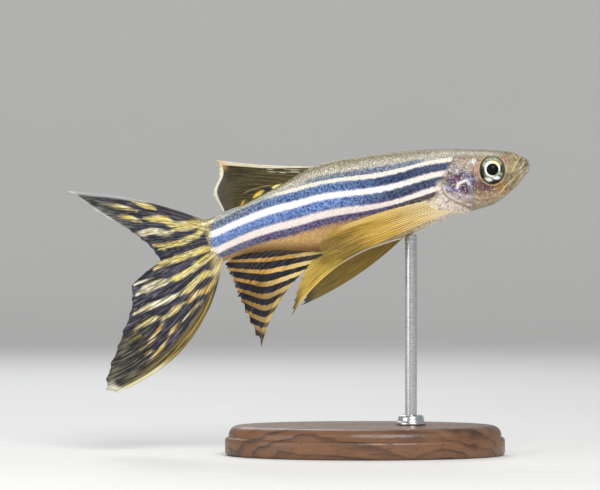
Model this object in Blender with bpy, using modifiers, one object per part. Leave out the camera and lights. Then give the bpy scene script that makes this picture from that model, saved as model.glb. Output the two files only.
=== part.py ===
"""A life-size museum model of a long-finned zebra danio, swimming, on a small stand.

Run it with blender --background --python part.py, or from Blender's text editor.

Frame: +X is the way the fish swims, +Z is up, and the origin is the middle of the base's
underside. Sizes are written in millimetres and multiplied by MM where a mesh is made.
"""

import math

import bmesh
import bpy
import numpy as np
from mathutils import Vector

MM = 0.001
GAP = 0.3  # between one node and the next
EYE_GAP = 0.2
WELD = 1e-7  # in metres

# The stations of the body, from the snout to the tail's root: the back's point and the
# belly's point as (x, z), the half width, and how far down the side the widest level is.
STATIONS = {
    "lips": ((16.02, 29.66), (16.12, 28.10), 0.66, 0.50),
    "nostrils": ((14.60, 30.28), (15.00, 26.75), 1.24, 0.46),
    "eyes": ((12.40, 30.50), (13.00, 25.15), 1.72, 0.42),
    "cheeks": ((10.40, 30.58), (10.90, 24.44), 2.08, 0.44),
    "gills": ((8.20, 30.60), (8.60, 23.72), 2.28, 0.45),
    "shoulders": ((4.60, 30.46), (5.20, 22.34), 2.42, 0.45),
    "belly": ((-0.20, 29.94), (1.00, 20.76), 2.32, 0.47),
    "dorsal_root": ((-4.80, 29.02), (-3.20, 20.32), 1.98, 0.47),
    "anal_root": ((-8.60, 26.94), (-6.90, 20.42), 1.46, 0.48),
    "stalk": ((-12.50, 24.84), (-10.90, 20.36), 0.92, 0.49),
    "tail_root": ((-16.20, 23.45), (-14.70, 19.22), 0.46, 0.50),
}
SNOUT = (16.42, 28.92)
BACK_FULLNESS, BELLY_FULLNESS = 0.84, 0.92  # powers of the sine: lower is fuller

# The tail is swept to one side, as in a swimming stroke, from this x backwards.
STROKE_FROM, STROKE_AT, STROKE = 8.0, -16.2, 1.2

# Where the body is parted, as places between stations, counted from the snout, and how far
# apart the stations are hereabouts.
PARTINGS = {"vent": 7.35, "stalk": 9.75}
STATION_SPACING = 3.7

THROUGH = 6.0  # a cutter reaches this far to each side of the middle, well past the flanks

# The gill opening's edge, seen from the side, from above the nape to below the throat.
GILL_EDGE = ((9.2, 31.8), (8.9, 30.0), (8.1, 28.5), (7.6, 27.2), (7.9, 26.0), (8.9, 25.3),
             (10.3, 24.6), (11.3, 23.9), (11.9, 22.8))
# The cover's other border, from its top over the cheek and down to the throat.
CHEEK_EDGE = ((6.8, 28.7), (8.2, 29.2), (9.6, 29.35), (10.6, 28.8), (10.95, 27.8),
              (10.85, 26.6), (10.7, 25.5), (10.8, 24.4))
COVER_DEPTH = 1.1  # how near the middle the gill cover's inner face is
COVER_LIFT = 0.14  # how far the cover's hind edge stands off the flank
CHEEK_GROOVE, BROW_RIDGE = 0.10, 0.10

EYE_CENTRE, EYE_SIDE = (12.70, 28.45), 1.32
EYE_RADIUS, EYE_THICKNESS = 1.27, 0.80
PUPIL_RADIUS, LENS_RISE = 0.60, 0.16

MOUTH = ((17.2, 29.55), (16.35, 29.2), (15.6, 28.55), (14.9, 27.95))
MOUTH_OPENING = 0.14
LIP_WIDTH, LIP_HEIGHT = 0.30, 0.10
NOSTRIL, NOSTRIL_SIDE, NOSTRIL_RADIUS = (14.15, 29.35), 0.98, 0.24

# Half the thickness of a fin ray, and of the web between two, at the root and at the tip, and
# how late along the fin it thins.
RAY_ROOT, RAY_TIP, RAY_TAPER = 0.40, 0.15, 1.6
WEB_ROOT, WEB_TIP, WEB_TAPER = 0.26, 0.10, 3.0
WEB_SHORT = 0.045  # how far short of its rays the web ends, as a share of their length

BARBEL_ROOT, BARBEL_TIP = 0.25, 0.07  # radii

BASE_LENGTH, BASE_WIDTH, BASE_HEIGHT = 28.0, 18.0, 3.0
BASE_EDGE = 0.6
COLLAR_RADIUS, COLLAR_HEIGHT, COLLAR_SUNK = 1.5, 1.0, 0.5
ROD_X, ROD_RADIUS = 4.6, 0.6
ROD_OVERLAP = 1.5  # how far into the belly the rod runs before it is cut short of the skin

FINISHES = {
    "flank": ((0.30, 0.38, 0.62), 0.35, 0.2),
    "head_skin": ((0.52, 0.45, 0.33), 0.40, 0.1),
    "gill_skin": ((0.50, 0.36, 0.42), 0.30, 0.2),
    "eye": ((0.75, 0.72, 0.55), 0.15, 0.3),
    "striped_fin": ((0.62, 0.52, 0.20), 0.40, 0.0),
    "clear_fin": ((0.60, 0.50, 0.22), 0.40, 0.0),
    "barbel": ((0.62, 0.54, 0.36), 0.45, 0.0),
    "stand_wood": ((0.16, 0.09, 0.05), 0.45, 0.0),
    "stand_steel": ((0.60, 0.60, 0.62), 0.30, 1.0),
}


def clear_scene():
    for obj in list(bpy.data.objects):
        bpy.data.objects.remove(obj, do_unlink=True)


def new_collection(name):
    collection = bpy.data.collections.new(name)
    bpy.context.scene.collection.children.link(collection)
    return collection


def finish_material(name):
    colour, roughness, metallic = FINISHES[name]
    material = bpy.data.materials.get(name) or bpy.data.materials.new(name)
    material.use_nodes = True
    shader = material.node_tree.nodes["Principled BSDF"]
    shader.inputs["Base Color"].default_value = (*colour, 1.0)
    shader.inputs["Roughness"].default_value = roughness
    shader.inputs["Metallic"].default_value = metallic
    material.diffuse_color = (*colour, 1.0)
    return material


def new_object(name, bm, collection, finish=None, smooth=35.0):
    """A closed mesh object from a bmesh in millimetres, with its faces pointing out."""
    bmesh.ops.recalc_face_normals(bm, faces=bm.faces)
    bmesh.ops.scale(bm, vec=(MM, MM, MM), verts=bm.verts)
    mesh = bpy.data.meshes.new(name)
    bm.to_mesh(mesh)
    bm.free()
    obj = bpy.data.objects.new(name, mesh)
    collection.objects.link(obj)
    if finish:
        mesh.materials.append(finish_material(finish))
        mesh.shade_smooth()
        mesh.set_sharp_from_angle(angle=math.radians(smooth))
    else:
        obj.hide_render = True
        obj.display_type = "WIRE"
    return obj


def boolean(obj, other, operation):
    """Cuts obj by another object, or joins it to every object of a collection, and applies it."""
    modifier = obj.modifiers.new(operation.title(), "BOOLEAN")
    modifier.operation = operation
    modifier.solver = "EXACT"
    if isinstance(other, bpy.types.Collection):
        modifier.operand_type = "COLLECTION"
        modifier.collection = other
    else:
        modifier.object = other
    graph = bpy.context.evaluated_depsgraph_get()
    mesh = bpy.data.meshes.new_from_object(obj.evaluated_get(graph), depsgraph=graph)
    obj.modifiers.clear()
    obj.data = mesh


def keep_largest(obj):
    """Drops every loose scrap but the node's largest closed surface."""
    bm = bmesh.new()
    bm.from_mesh(obj.data)
    left, pieces = set(bm.verts), []
    while left:
        front = [left.pop()]
        piece = set(front)
        while front:
            near = {e.other_vert(v) for v in front for e in v.link_edges} - piece
            piece |= near
            front = list(near)
        left -= piece
        pieces.append(piece)
    pieces.sort(key=lambda p: sum(f.calc_area() for f in {f for v in p for f in v.link_faces}))
    for scrap in pieces[:-1]:
        bmesh.ops.delete(bm, geom=list(scrap), context="VERTS")
    bm.to_mesh(obj.data)
    bm.free()


def smooth_curve(points, place):
    """A Catmull-Rom curve through evenly numbered points, at a place from 0 to len - 1."""
    points = [np.asarray(p, float) for p in points]
    points = [2 * points[0] - points[1], *points, 2 * points[-1] - points[-2]]
    place = min(max(place, 0.0), len(points) - 3 - 1e-9)
    i = int(place)
    t = place - i
    a, b, c, d = points[i : i + 4]
    return 0.5 * (2 * b + (c - a) * t + (2 * a - 5 * b + 4 * c - d) * t**2
                  + (3 * b - a - 3 * c + d) * t**3)


def smooth_step(low, high, value):
    share = min(max((value - low) / (high - low), 0.0), 1.0)
    return share * share * (3 - 2 * share)


def stroke(x):
    """How far to the side the swimming stroke carries what is at this x."""
    share = max(0.0, (STROKE_FROM - x) / (STROKE_FROM - STROKE_AT))
    return STROKE * share**2


def station(place):
    """(back, belly, half width, widest level) at a place between the snout, 0, and the tail, 11."""
    rows = [(*back, *belly, width, level) for back, belly, width, level in STATIONS.values()]
    if place >= 1:
        row = smooth_curve(rows, place - 1)
        return row[0:2], row[2:4], row[4], row[5]
    # Ahead of the lips the sections close on the snout as a rounded nose does.
    back, belly, width, level = np.array(rows[0][0:2]), np.array(rows[0][2:4]), *rows[0][4:]
    turn = place * math.pi / 2
    ahead, spread = 1 - math.cos(turn), math.sin(turn)
    middle = (back + belly) / 2
    centre = np.array(SNOUT) + (middle - np.array(SNOUT)) * ahead
    half = (back - belly) / 2 * spread
    return centre + half, centre - half, width * spread, level


def section_point(place, turn, out=0.0):
    """A point of the skin: turn runs from the back, 0, down the left side to the belly, pi."""
    back, belly, width, level = station(place)
    cosine, sine = math.cos(turn), math.sin(turn)
    down = level * (1 - cosine) if cosine >= 0 else level - (1 - level) * cosine
    power = BACK_FULLNESS if cosine >= 0 else BELLY_FULLNESS
    side = math.copysign(abs(sine) ** power, sine) * (width + out)
    axis = (belly - back) / max(np.linalg.norm(belly - back), 1e-6)
    x, z = back + (belly - back) * down - axis * out * cosine
    return Vector((x, side + stroke(x), z))


def distance_to_path(path, x, z):
    """How far a point seen from the side lies from a path of straight runs."""
    nearest = 1e9
    for a, b in zip(path, path[1:]):
        a, b, p = np.array(a), np.array(b), np.array((x, z))
        share = min(max(np.dot(p - a, b - a) / np.dot(b - a, b - a), 0.0), 1.0)
        nearest = min(nearest, float(np.linalg.norm(p - a - share * (b - a))))
    return nearest


def bump(distance, width):
    return math.exp(-((distance / width) ** 2))


def head_relief(x, z, side):
    """How far the head's skin stands out beyond its plain form, seen from the side."""
    lip = distance_to_path(MOUTH[1:], x, z)
    height = LIP_HEIGHT * bump(lip - 0.6 * LIP_WIDTH, 0.6 * LIP_WIDTH)
    cover = 1 - smooth_step(9.3, 10.9, x)
    level = smooth_step(24.6, 25.8, z) * (1 - smooth_step(28.6, 29.6, z))
    height += COVER_LIFT * cover * level
    height -= CHEEK_GROOVE * bump(distance_to_path(CHEEK_EDGE[2:], x, z), 0.28)
    brow = math.dist((x, z), EYE_CENTRE)
    height += BROW_RIDGE * bump(brow - EYE_RADIUS - 0.25, 0.22)
    return height * min(1.0, side / 0.4)


def spaced(*runs):
    """Places for a loft's rings: each run is (first, last, steps), and joins the one before."""
    places = [runs[0][0]]
    for first, last, steps in runs:
        places += [first + (last - first) * step / steps for step in range(1, steps + 1)]
    return places


def loft(name, places, around, collection, finish, relief=None, out=0.0):
    """A length of the body, skinned over rings at these places and closed at its ends."""
    bm = bmesh.new()
    previous = None
    for place in places:
        if place < 1e-6:
            nose = bm.verts.new((SNOUT[0] + out, stroke(SNOUT[0]), SNOUT[1]))
            previous = [nose] * around
            continue
        ring = []
        for step in range(around):
            turn = 2 * math.pi * step / around
            point = section_point(place, turn, out)
            if relief:
                middle = stroke(point.x)
                outward = point - section_point(place, turn, out - 0.05)
                point += outward.normalized() * relief(point.x, point.z, abs(point.y - middle))
            ring.append(bm.verts.new(point))
        if previous is None:
            bm.faces.new(ring)
        else:
            for step in range(around):
                after = (step + 1) % around
                corners = [previous[step], previous[after], ring[after], ring[step]]
                bm.faces.new(list(dict.fromkeys(corners)))
        previous = ring
    bm.faces.new(list(reversed(previous)))
    return new_object(name, bm, collection, finish)


def mesh_of_curve(curve):
    """Takes a curve object away and gives its mesh, in millimetres, with the caps welded on."""
    graph = bpy.context.evaluated_depsgraph_get()
    mesh = bpy.data.meshes.new_from_object(curve.evaluated_get(graph), depsgraph=graph)
    place = curve.matrix_world.copy()
    bpy.data.objects.remove(curve, do_unlink=True)
    bm = bmesh.new()
    bm.from_mesh(mesh)
    bpy.data.meshes.remove(mesh)
    bmesh.ops.remove_doubles(bm, verts=bm.verts, dist=WELD)
    bmesh.ops.transform(bm, matrix=place, verts=bm.verts)
    bmesh.ops.scale(bm, vec=(1 / MM, 1 / MM, 1 / MM), verts=bm.verts)
    return bm


def slab(name, outline, low, high, collection):
    """A cutter: an outline in the side view, pushed through from one y to another."""
    curve = bpy.data.curves.new(name + "_outline", "CURVE")
    curve.dimensions = "2D"
    curve.fill_mode = "BOTH"
    curve.extrude = (high - low) / 2 * MM
    spline = curve.splines.new("POLY")
    spline.points.add(len(outline) - 1)
    for point, (x, z) in zip(spline.points, outline):
        point.co = (x * MM, z * MM, 0, 1)
    spline.use_cyclic_u = True
    obj = bpy.data.objects.new(name, curve)
    collection.objects.link(obj)
    obj.rotation_euler = (math.pi / 2, 0, 0)
    obj.location = (0, (low + high) / 2 * MM, 0)
    bpy.context.view_layer.update()
    return new_object(name, mesh_of_curve(obj), collection)


def smooth_path(points, steps):
    """A path of straight runs along the smooth curve through a few points."""
    last = len(points) - 1
    return [tuple(smooth_curve(points, last * i / steps)) for i in range(steps + 1)]


def shifted(path, distance):
    """The same path moved sideways, to the left of its direction."""
    moved = []
    for i, here in enumerate(path):
        before, after = path[max(i - 1, 0)], path[min(i + 1, len(path) - 1)]
        along = np.array(after) - np.array(before)
        along /= np.linalg.norm(along)
        moved.append((here[0] - along[1] * distance, here[1] + along[0] * distance))
    return moved


def ball(name, radius, centre, collection, stretch=(1, 1, 1), segments=16):
    """A cutter: a ball, stretched along x, y and z."""
    bm = bmesh.new()
    bmesh.ops.create_uvsphere(bm, u_segments=segments, v_segments=segments // 2, radius=radius)
    bmesh.ops.scale(bm, vec=stretch, verts=bm.verts)
    bmesh.ops.translate(bm, vec=centre, verts=bm.verts)
    return new_object(name, bm, collection)


def make_head(parts, cutters):
    """The head, parted from the trunk along the gill opening, with its mouth and nostrils."""
    places = spaced((0.0, 1.0, 4), (1.0, 3.2, 20), (3.2, 6.2, 22))
    head = loft("head", places, 40, parts, "head_skin", head_relief)
    edge = smooth_path(GILL_EDGE, 28)
    outline = [*edge, (-2, 22), (-2, 32)]
    behind = slab("behind_gills", outline, -THROUGH, THROUGH, cutters)
    boolean(head, behind, "DIFFERENCE")

    line = smooth_path(MOUTH, 12)
    opening = [*shifted(line, MOUTH_OPENING / 2), *reversed(shifted(line, -MOUTH_OPENING / 2))]
    cut = slab("mouth_opening", opening, -THROUGH, THROUGH, cutters)
    boolean(head, cut, "DIFFERENCE")

    for side in (-1, 1):
        pit = ball("nostril_pit", NOSTRIL_RADIUS, (NOSTRIL[0], side * NOSTRIL_SIDE, NOSTRIL[1]),
                   cutters, (1.3, 1.0, 0.8))
        boolean(head, pit, "DIFFERENCE")
        place = (EYE_CENTRE[0], side * EYE_SIDE, EYE_CENTRE[1])
        flat = (EYE_THICKNESS + EYE_GAP) / (EYE_RADIUS + EYE_GAP)
        socket = ball("eye_socket", EYE_RADIUS + EYE_GAP, place, cutters, (1, flat, 1), 28)
        boolean(head, socket, "DIFFERENCE")
    keep_largest(head)
    return head


def make_gill_covers(head, parts, cutters):
    """The two gill covers, each a curved plate parted from the cheek by a thin cut."""
    front = smooth_path(CHEEK_EDGE, 18)
    hind = [(10.8, 23.5), (6.8, 23.5)]
    for side, name in ((-1, "gill_cover_right"), (1, "gill_cover_left")):
        cover = head.copy()
        cover.data = head.data.copy()
        cover.name = cover.data.name = name
        parts.objects.link(cover)
        cover.data.materials.clear()
        cover.data.materials.append(finish_material("gill_skin"))
        low, high = sorted((side * COVER_DEPTH, side * THROUGH))
        plate = slab("cover_outline", [*front, *hind], low, high, cutters)
        boolean(cover, plate, "INTERSECT")
        keep_largest(cover)
    room = shifted(front, GAP)
    outline = [(6.2, room[0][1]), *room, (room[-1][0], 23.3), (6.2, 23.3)]
    for side in (-1, 1):
        low, high = sorted((side * (COVER_DEPTH - GAP), side * THROUGH))
        boolean(head, slab("cover_room", outline, low, high, cutters), "DIFFERENCE")
    keep_largest(head)


def make_eye(name, side, parts):
    """An eye as a turned shape: the globe, the iris's flat ring and the lens in the pupil."""
    iris = 0.86 * EYE_THICKNESS
    profile = [(0.0, iris + LENS_RISE)]
    for step in (3, 2, 1, 0):
        turn = math.pi / 2 * step / 4
        profile.append((PUPIL_RADIUS * math.cos(turn), iris + LENS_RISE * math.sin(turn)))
    profile.append((1.12 * PUPIL_RADIUS, iris - 0.03))
    for step in range(8, -1, -1):
        turn = -math.pi / 2 + math.pi * 0.80 * step / 8
        radius = EYE_RADIUS * math.cos(turn) if step else 0.0
        profile.append((radius, EYE_THICKNESS * math.sin(turn)))

    mesh = bpy.data.meshes.new(name)
    points = [(radius * MM, 0, height * MM) for radius, height in profile]
    mesh.from_pydata(points, [(i, i + 1) for i in range(len(points) - 1)], [])
    mesh.materials.append(finish_material("eye"))
    obj = bpy.data.objects.new(name, mesh)
    parts.objects.link(obj)
    screw = obj.modifiers.new("Turn", "SCREW")
    screw.axis = "Z"
    screw.steps = screw.render_steps = 22
    screw.use_merge_vertices = True
    screw.merge_threshold = WELD
    screw.use_smooth_shade = True
    obj.rotation_euler = Vector((0, side, 0)).to_track_quat("Z", "Y").to_euler()
    obj.location = Vector((EYE_CENTRE[0], side * EYE_SIDE, EYE_CENTRE[1])) * MM


def make_trunk(parts, cutters):
    """The three lengths behind the head, each closed by flat ends a thin cut apart."""
    trunk = loft("trunk", spaced((4.3, PARTINGS["vent"], 18)), 30, parts, "flank")
    edge = shifted(smooth_path(GILL_EDGE, 28), -GAP)
    outline = [*edge, (20, 22), (20, 32)]
    boolean(trunk, slab("ahead_of_gills", outline, -THROUGH, THROUGH, cutters), "DIFFERENCE")
    keep_largest(trunk)
    step = GAP / STATION_SPACING
    places = spaced((PARTINGS["vent"] + step, PARTINGS["stalk"], 14))
    loft("tail_section", places, 30, parts, "flank")
    places = spaced((PARTINGS["stalk"] + step, len(STATIONS), 9))
    loft("tail_stalk", places, 28, parts, "flank")


def fin_grid(roots, tips, rays, rows, bow, sway):
    """Points of a fin's middle surface, one column for each ray and each web between two.

    roots and tips are points seen from the side. bow is how far the first and the last ray
    bend sideways in that view, and sway(u, v) is where the surface lies across it."""
    columns = []
    for number in range(2 * rays - 1):
        u = number / (2 * rays - 2)
        root = smooth_curve(roots, u * (len(roots) - 1))
        tip = smooth_curve(tips, u * (len(tips) - 1))
        run = tip - root
        across = np.array((-run[1], run[0])) / np.linalg.norm(run)
        control = (root + tip) / 2 + 2 * across * (bow[0] * (1 - u) + bow[1] * u)
        short = 0.0 if number % 2 == 0 else WEB_SHORT
        column = []
        for row in range(rows + 1):
            v = row / rows - short * (row / rows) ** 6
            x, z = (1 - v) ** 2 * root + 2 * v * (1 - v) * control + v * v * tip
            column.append(Vector((x, sway(u, v) + stroke(x), z)))
        columns.append(column)
    return columns


def fin_normals(grid):
    """The middle surface's normals, each shared with its neighbours so that rays don't cross."""
    columns, rows = len(grid), len(grid[0])
    plain = []
    for i in range(columns):
        before, after = grid[max(i - 1, 0)], grid[min(i + 1, columns - 1)]
        column = []
        for row in range(rows):
            along = grid[i][min(row + 1, rows - 1)] - grid[i][max(row - 1, 0)]
            column.append(along.cross(after[row] - before[row]).normalized())
        plain.append(column)
    shared = []
    for i in range(columns):
        near = plain[max(i - 2, 0) : i + 3]
        shared.append([sum((c[row] for c in near), Vector()).normalized() for row in range(rows)])
    return shared


def fin(name, grid, parts, finish):
    """A fin as one closed slab: the rays stand up from the web as ridges on both faces."""
    columns, rows = len(grid), len(grid[0])
    normals = fin_normals(grid)
    bm = bmesh.new()
    faces = ([], [])
    for i in range(columns):
        if i % 2 == 0:
            root, tip, taper = RAY_ROOT, RAY_TIP, RAY_TAPER
        else:
            root, tip, taper = WEB_ROOT, WEB_TIP, WEB_TAPER
        for row in range(rows):
            half = root + (tip - root) * (row / (rows - 1)) ** taper
            faces[0].append(bm.verts.new(grid[i][row] + normals[i][row] * half))
            faces[1].append(bm.verts.new(grid[i][row] - normals[i][row] * half))

    def corner(face, i, row):
        return faces[face][i * rows + row]

    for i in range(columns - 1):
        for row in range(rows - 1):
            for face in (0, 1):
                a, b = corner(face, i, row), corner(face, i + 1, row)
                c, d = corner(face, i + 1, row + 1), corner(face, i, row + 1)
                bm.faces.new((a, b, c))
                bm.faces.new((a, c, d))
    rim = [(i, 0) for i in range(columns)]
    rim += [(columns - 1, row) for row in range(1, rows)]
    rim += [(i, rows - 1) for i in range(columns - 2, -1, -1)]
    rim += [(0, row) for row in range(rows - 2, 0, -1)]
    for here, after in zip(rim, rim[1:] + rim[:1]):
        bm.faces.new((corner(0, *here), corner(0, *after), corner(1, *after)))
        bm.faces.new((corner(0, *here), corner(1, *after), corner(1, *here)))
    return new_object(name, bm, parts, finish, smooth=50)


def rooted_fin(name, grid, parts, finish, clearance):
    """A fin cut off a thin gap short of the flesh that it grows from."""
    obj = fin(name, grid, parts, finish)
    boolean(obj, clearance, "DIFFERENCE")
    keep_largest(obj)


def make_dorsal_fin(parts, clearance):
    def sway(u, v):
        return 0.35 * v * math.sin(2.6 * math.pi * u) + 0.25 * v * v

    roots = [(-4.2, 28.8), (-7.2, 27.3), (-10.0, 25.7)]
    tips = [(-14.9, 29.5), (-14.65, 28.0), (-15.2, 26.2), (-14.25, 24.5)]
    grid = fin_grid(roots, tips, 9, 6, (0.22, -0.45), sway)
    rooted_fin("dorsal_fin", grid, parts, "clear_fin", clearance)


def make_anal_fin(parts, clearance):
    def sway(u, v):
        return 0.55 * v * math.sin(3.0 * math.pi * u) - 0.5 * v * v * (1 - u)

    roots = [(-2.9, 20.9), (-7.8, 20.9), (-12.2, 20.8)]
    tips = [(-10.4, 10.8), (-12.4, 15.2), (-13.2, 17.1), (-14.0, 19.1)]
    grid = fin_grid(roots, tips, 13, 6, (-1.55, 0.05), sway)
    rooted_fin("anal_fin", grid, parts, "striped_fin", clearance)


def make_tail_fin(parts, clearance):
    """The forked tail fin, one node for each lobe, with a thin cut along the fork."""
    def sway_upper(u, v):
        return 0.5 * v * math.sin(2.2 * math.pi * u + 0.5) + 0.8 * v * v

    def sway_lower(u, v):
        return 0.5 * v * math.sin(2.0 * math.pi * u + 1.9) + 0.8 * v * v

    roots = [(-15.75, 23.3), (-15.35, 22.35), (-15.0, 21.5)]
    tips = [(-29.5, 26.35), (-26.9, 24.3), (-24.0, 22.6), (-21.8, 21.1), (-20.5, 19.95)]
    grid = fin_grid(roots, tips, 10, 7, (-0.62, 0.0), sway_upper)
    rooted_fin("tail_fin_upper", grid, parts, "striped_fin", clearance)

    roots = [(-15.0, 21.15), (-14.7, 20.3), (-14.3, 19.35)]
    tips = [(-20.6, 19.6), (-23.2, 16.9), (-23.8, 14.0), (-24.9, 11.0), (-26.1, 7.6),
            (-25.0, 6.1)]
    grid = fin_grid(roots, tips, 10, 8, (0.0, 2.3), sway_lower)
    rooted_fin("tail_fin_lower", grid, parts, "striped_fin", clearance)


def make_pectoral_fin(name, side, parts, clearance):
    """A breast fin, laid back along the belly and spread a little from it."""
    def sway(u, v):
        spread = 1 - (1 - v) ** 2
        return side * (1.35 + 2.25 * spread - 0.5 * u * v + 0.15 * v * math.sin(9 * u))

    roots = [(8.3, 25.7), (8.4, 24.95), (8.3, 24.2)]
    tips = [(-3.2, 22.5), (-4.6, 21.2), (-4.4, 20.1), (-2.4, 19.4)]
    grid = fin_grid(roots, tips, 8, 7, (-0.35, 0.35), sway)
    rooted_fin(name, grid, parts, "clear_fin", clearance)


def make_pelvic_fin(name, side, parts, clearance):
    """A belly fin. The right one trails behind, and the left one is held a little ahead."""
    def sway(u, v):
        return side * (0.75 + 2.1 * v - 0.9 * u * v)

    roots = [(3.3, 21.4), (2.6, 21.8), (1.8, 22.2)]
    if side < 0:
        tips = [(-7.4, 14.2), (-7.0, 16.4), (-6.4, 18.0), (-5.4, 19.2)]
        bow = (-1.15, -0.35)
    else:
        tips = [(-5.9, 14.8), (-4.8, 16.2), (-4.4, 17.6), (-4.2, 18.9)]
        bow = (0.2, 0.0)
    grid = fin_grid(roots, tips, 7, 6, bow, sway)
    rooted_fin(name, grid, parts, "clear_fin", clearance)


def make_barbel(name, path, parts, clearance):
    """A feeler at the mouth, round, tapering and bent along a few points."""
    steps = 7
    curve = bpy.data.curves.new(name + "_path", "CURVE")
    curve.dimensions = "3D"
    curve.bevel_depth = BARBEL_ROOT * MM
    curve.bevel_resolution = 2
    curve.use_fill_caps = True
    spline = curve.splines.new("POLY")
    spline.points.add(steps)
    for number, (point, place) in enumerate(zip(spline.points, smooth_path(path, steps))):
        point.co = (*(Vector(place) * MM), 1)
        point.radius = 1 + (BARBEL_TIP / BARBEL_ROOT - 1) * number / steps
    obj = bpy.data.objects.new(name + "_path", curve)
    parts.objects.link(obj)
    bpy.context.view_layer.update()
    barbel = new_object(name, mesh_of_curve(obj), parts, "barbel")
    boolean(barbel, clearance, "DIFFERENCE")
    keep_largest(barbel)


def make_barbels(parts, clearance):
    """The two pairs: short ones over the upper lip and longer ones at the mouth's corners."""
    for side, hand in ((-1, "right"), (1, "left")):
        short = [(15.6, side * 0.2, 29.6), (15.4, side * 1.15, 29.7), (15.0, side * 1.45, 29.0),
                 (14.5, side * 1.75, 28.2)]
        long = [(15.0, side * 0.6, 27.9), (14.7, side * 1.65, 27.5), (14.0, side * 1.95, 26.9),
                (13.2, side * 2.2, 26.0)]
        make_barbel(f"barbel_upper_{hand}", short, parts, clearance)
        make_barbel(f"barbel_lower_{hand}", long, parts, clearance)


def make_stand(parts, clearance):
    """An oval base with a raised collar, and one rod up to the belly."""
    bm = bmesh.new()
    bmesh.ops.create_cone(bm, cap_ends=True, segments=56, radius1=1, radius2=1,
                          depth=BASE_HEIGHT)
    bmesh.ops.scale(bm, vec=(BASE_LENGTH / 2, BASE_WIDTH / 2, 1), verts=bm.verts)
    bmesh.ops.translate(bm, vec=(0, 0, BASE_HEIGHT / 2), verts=bm.verts)
    base = new_object("stand_base", bm, parts, "stand_wood")
    brim = base.modifiers.new("Brim", "BEVEL")
    brim.width = BASE_EDGE * MM
    brim.segments = 3
    brim.limit_method = "ANGLE"
    brim.angle_limit = math.radians(60)

    collars = new_collection("collar_pieces")
    bm = bmesh.new()
    bmesh.ops.create_cone(bm, cap_ends=True, segments=24, radius1=COLLAR_RADIUS,
                          radius2=0.8 * COLLAR_RADIUS, depth=COLLAR_HEIGHT + COLLAR_SUNK)
    middle = BASE_HEIGHT + (COLLAR_HEIGHT - COLLAR_SUNK) / 2
    bmesh.ops.translate(bm, vec=(ROD_X, 0, middle), verts=bm.verts)
    collar = new_object("collar", bm, collars)
    boolean(base, collars, "UNION")
    bpy.data.objects.remove(collar, do_unlink=True)
    bpy.data.collections.remove(collars)

    low = BASE_HEIGHT + COLLAR_HEIGHT + GAP
    high = belly_height(ROD_X) + ROD_OVERLAP
    bm = bmesh.new()
    bmesh.ops.create_cone(bm, cap_ends=True, segments=20, radius1=ROD_RADIUS,
                          radius2=ROD_RADIUS, depth=high - low)
    bmesh.ops.translate(bm, vec=(ROD_X, stroke(ROD_X), (low + high) / 2), verts=bm.verts)
    rod = new_object("stand_rod", bm, parts, "stand_steel")
    boolean(rod, clearance, "DIFFERENCE")
    keep_largest(rod)


def belly_height(x):
    """The belly's height at an x, from the stations."""
    bellies = sorted(belly for _, belly, _, _ in STATIONS.values())
    return float(np.interp(x, [p[0] for p in bellies], [p[1] for p in bellies]))


def main():
    clear_scene()
    parts = new_collection("zebra_danio")
    cutters = new_collection("cutters")

    head = make_head(parts, cutters)
    make_gill_covers(head, parts, cutters)
    make_eye("eye_right", -1, parts)
    make_eye("eye_left", 1, parts)
    make_trunk(parts, cutters)

    places = spaced((0.0, 1.0, 4), (1.0, 6.2, 36), (6.2, len(STATIONS), 30))
    clearance = loft("flesh_clearance", places, 36, cutters, None, head_relief, out=GAP)
    make_dorsal_fin(parts, clearance)
    make_anal_fin(parts, clearance)
    make_tail_fin(parts, clearance)
    for side, hand in ((-1, "right"), (1, "left")):
        make_pectoral_fin(f"pectoral_fin_{hand}", side, parts, clearance)
        make_pelvic_fin(f"pelvic_fin_{hand}", side, parts, clearance)
    make_barbels(parts, clearance)
    make_stand(parts, clearance)


main()
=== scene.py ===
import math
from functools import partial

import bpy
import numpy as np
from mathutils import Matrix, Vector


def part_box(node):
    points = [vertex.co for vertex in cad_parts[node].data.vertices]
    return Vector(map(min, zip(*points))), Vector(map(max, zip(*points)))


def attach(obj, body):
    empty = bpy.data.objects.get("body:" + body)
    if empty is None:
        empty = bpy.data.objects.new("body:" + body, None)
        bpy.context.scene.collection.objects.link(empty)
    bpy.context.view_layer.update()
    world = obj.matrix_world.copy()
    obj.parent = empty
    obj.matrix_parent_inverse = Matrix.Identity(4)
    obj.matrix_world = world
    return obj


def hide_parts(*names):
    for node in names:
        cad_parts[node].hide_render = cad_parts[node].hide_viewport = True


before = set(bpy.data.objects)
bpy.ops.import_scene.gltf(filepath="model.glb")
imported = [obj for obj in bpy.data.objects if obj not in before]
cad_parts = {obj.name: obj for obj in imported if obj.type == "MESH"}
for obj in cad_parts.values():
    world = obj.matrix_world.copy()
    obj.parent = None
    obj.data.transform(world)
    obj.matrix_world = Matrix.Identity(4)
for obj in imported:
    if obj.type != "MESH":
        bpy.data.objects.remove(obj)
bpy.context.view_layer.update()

# %% [markdown]
# # The looks of a life-size zebra danio
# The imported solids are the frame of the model. This lesson dresses them: one skin over the
# head and body with the blue and white stripes, scales laid on it, thin fins with jointed
# rays, wet eyes, feelers at the mouth, and a small wooden stand.
# Lengths are written in millimetres, because the whole fish is only 46 of them long, and
# turned into metres where a mesh is made.

MM = 0.001


def linear(red, green, blue):
    """A colour as a paint chart gives it, 0 to 255, turned into the shader's own scale."""
    shares = [value / 255 for value in (red, green, blue)]
    return (*((s / 12.92 if s <= 0.04045 else ((s + 0.055) / 1.055) ** 2.4) for s in shares), 1.0)


# %% [markdown]
# ## Camera
# The photo looks straight at the fish's right side through a long lens, so the camera stands
# level with it, looks along +Y and has a lens of 200 mm. Ten pixels of the photo are one
# millimetre of fish, which fixes how far away the camera is.

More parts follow.
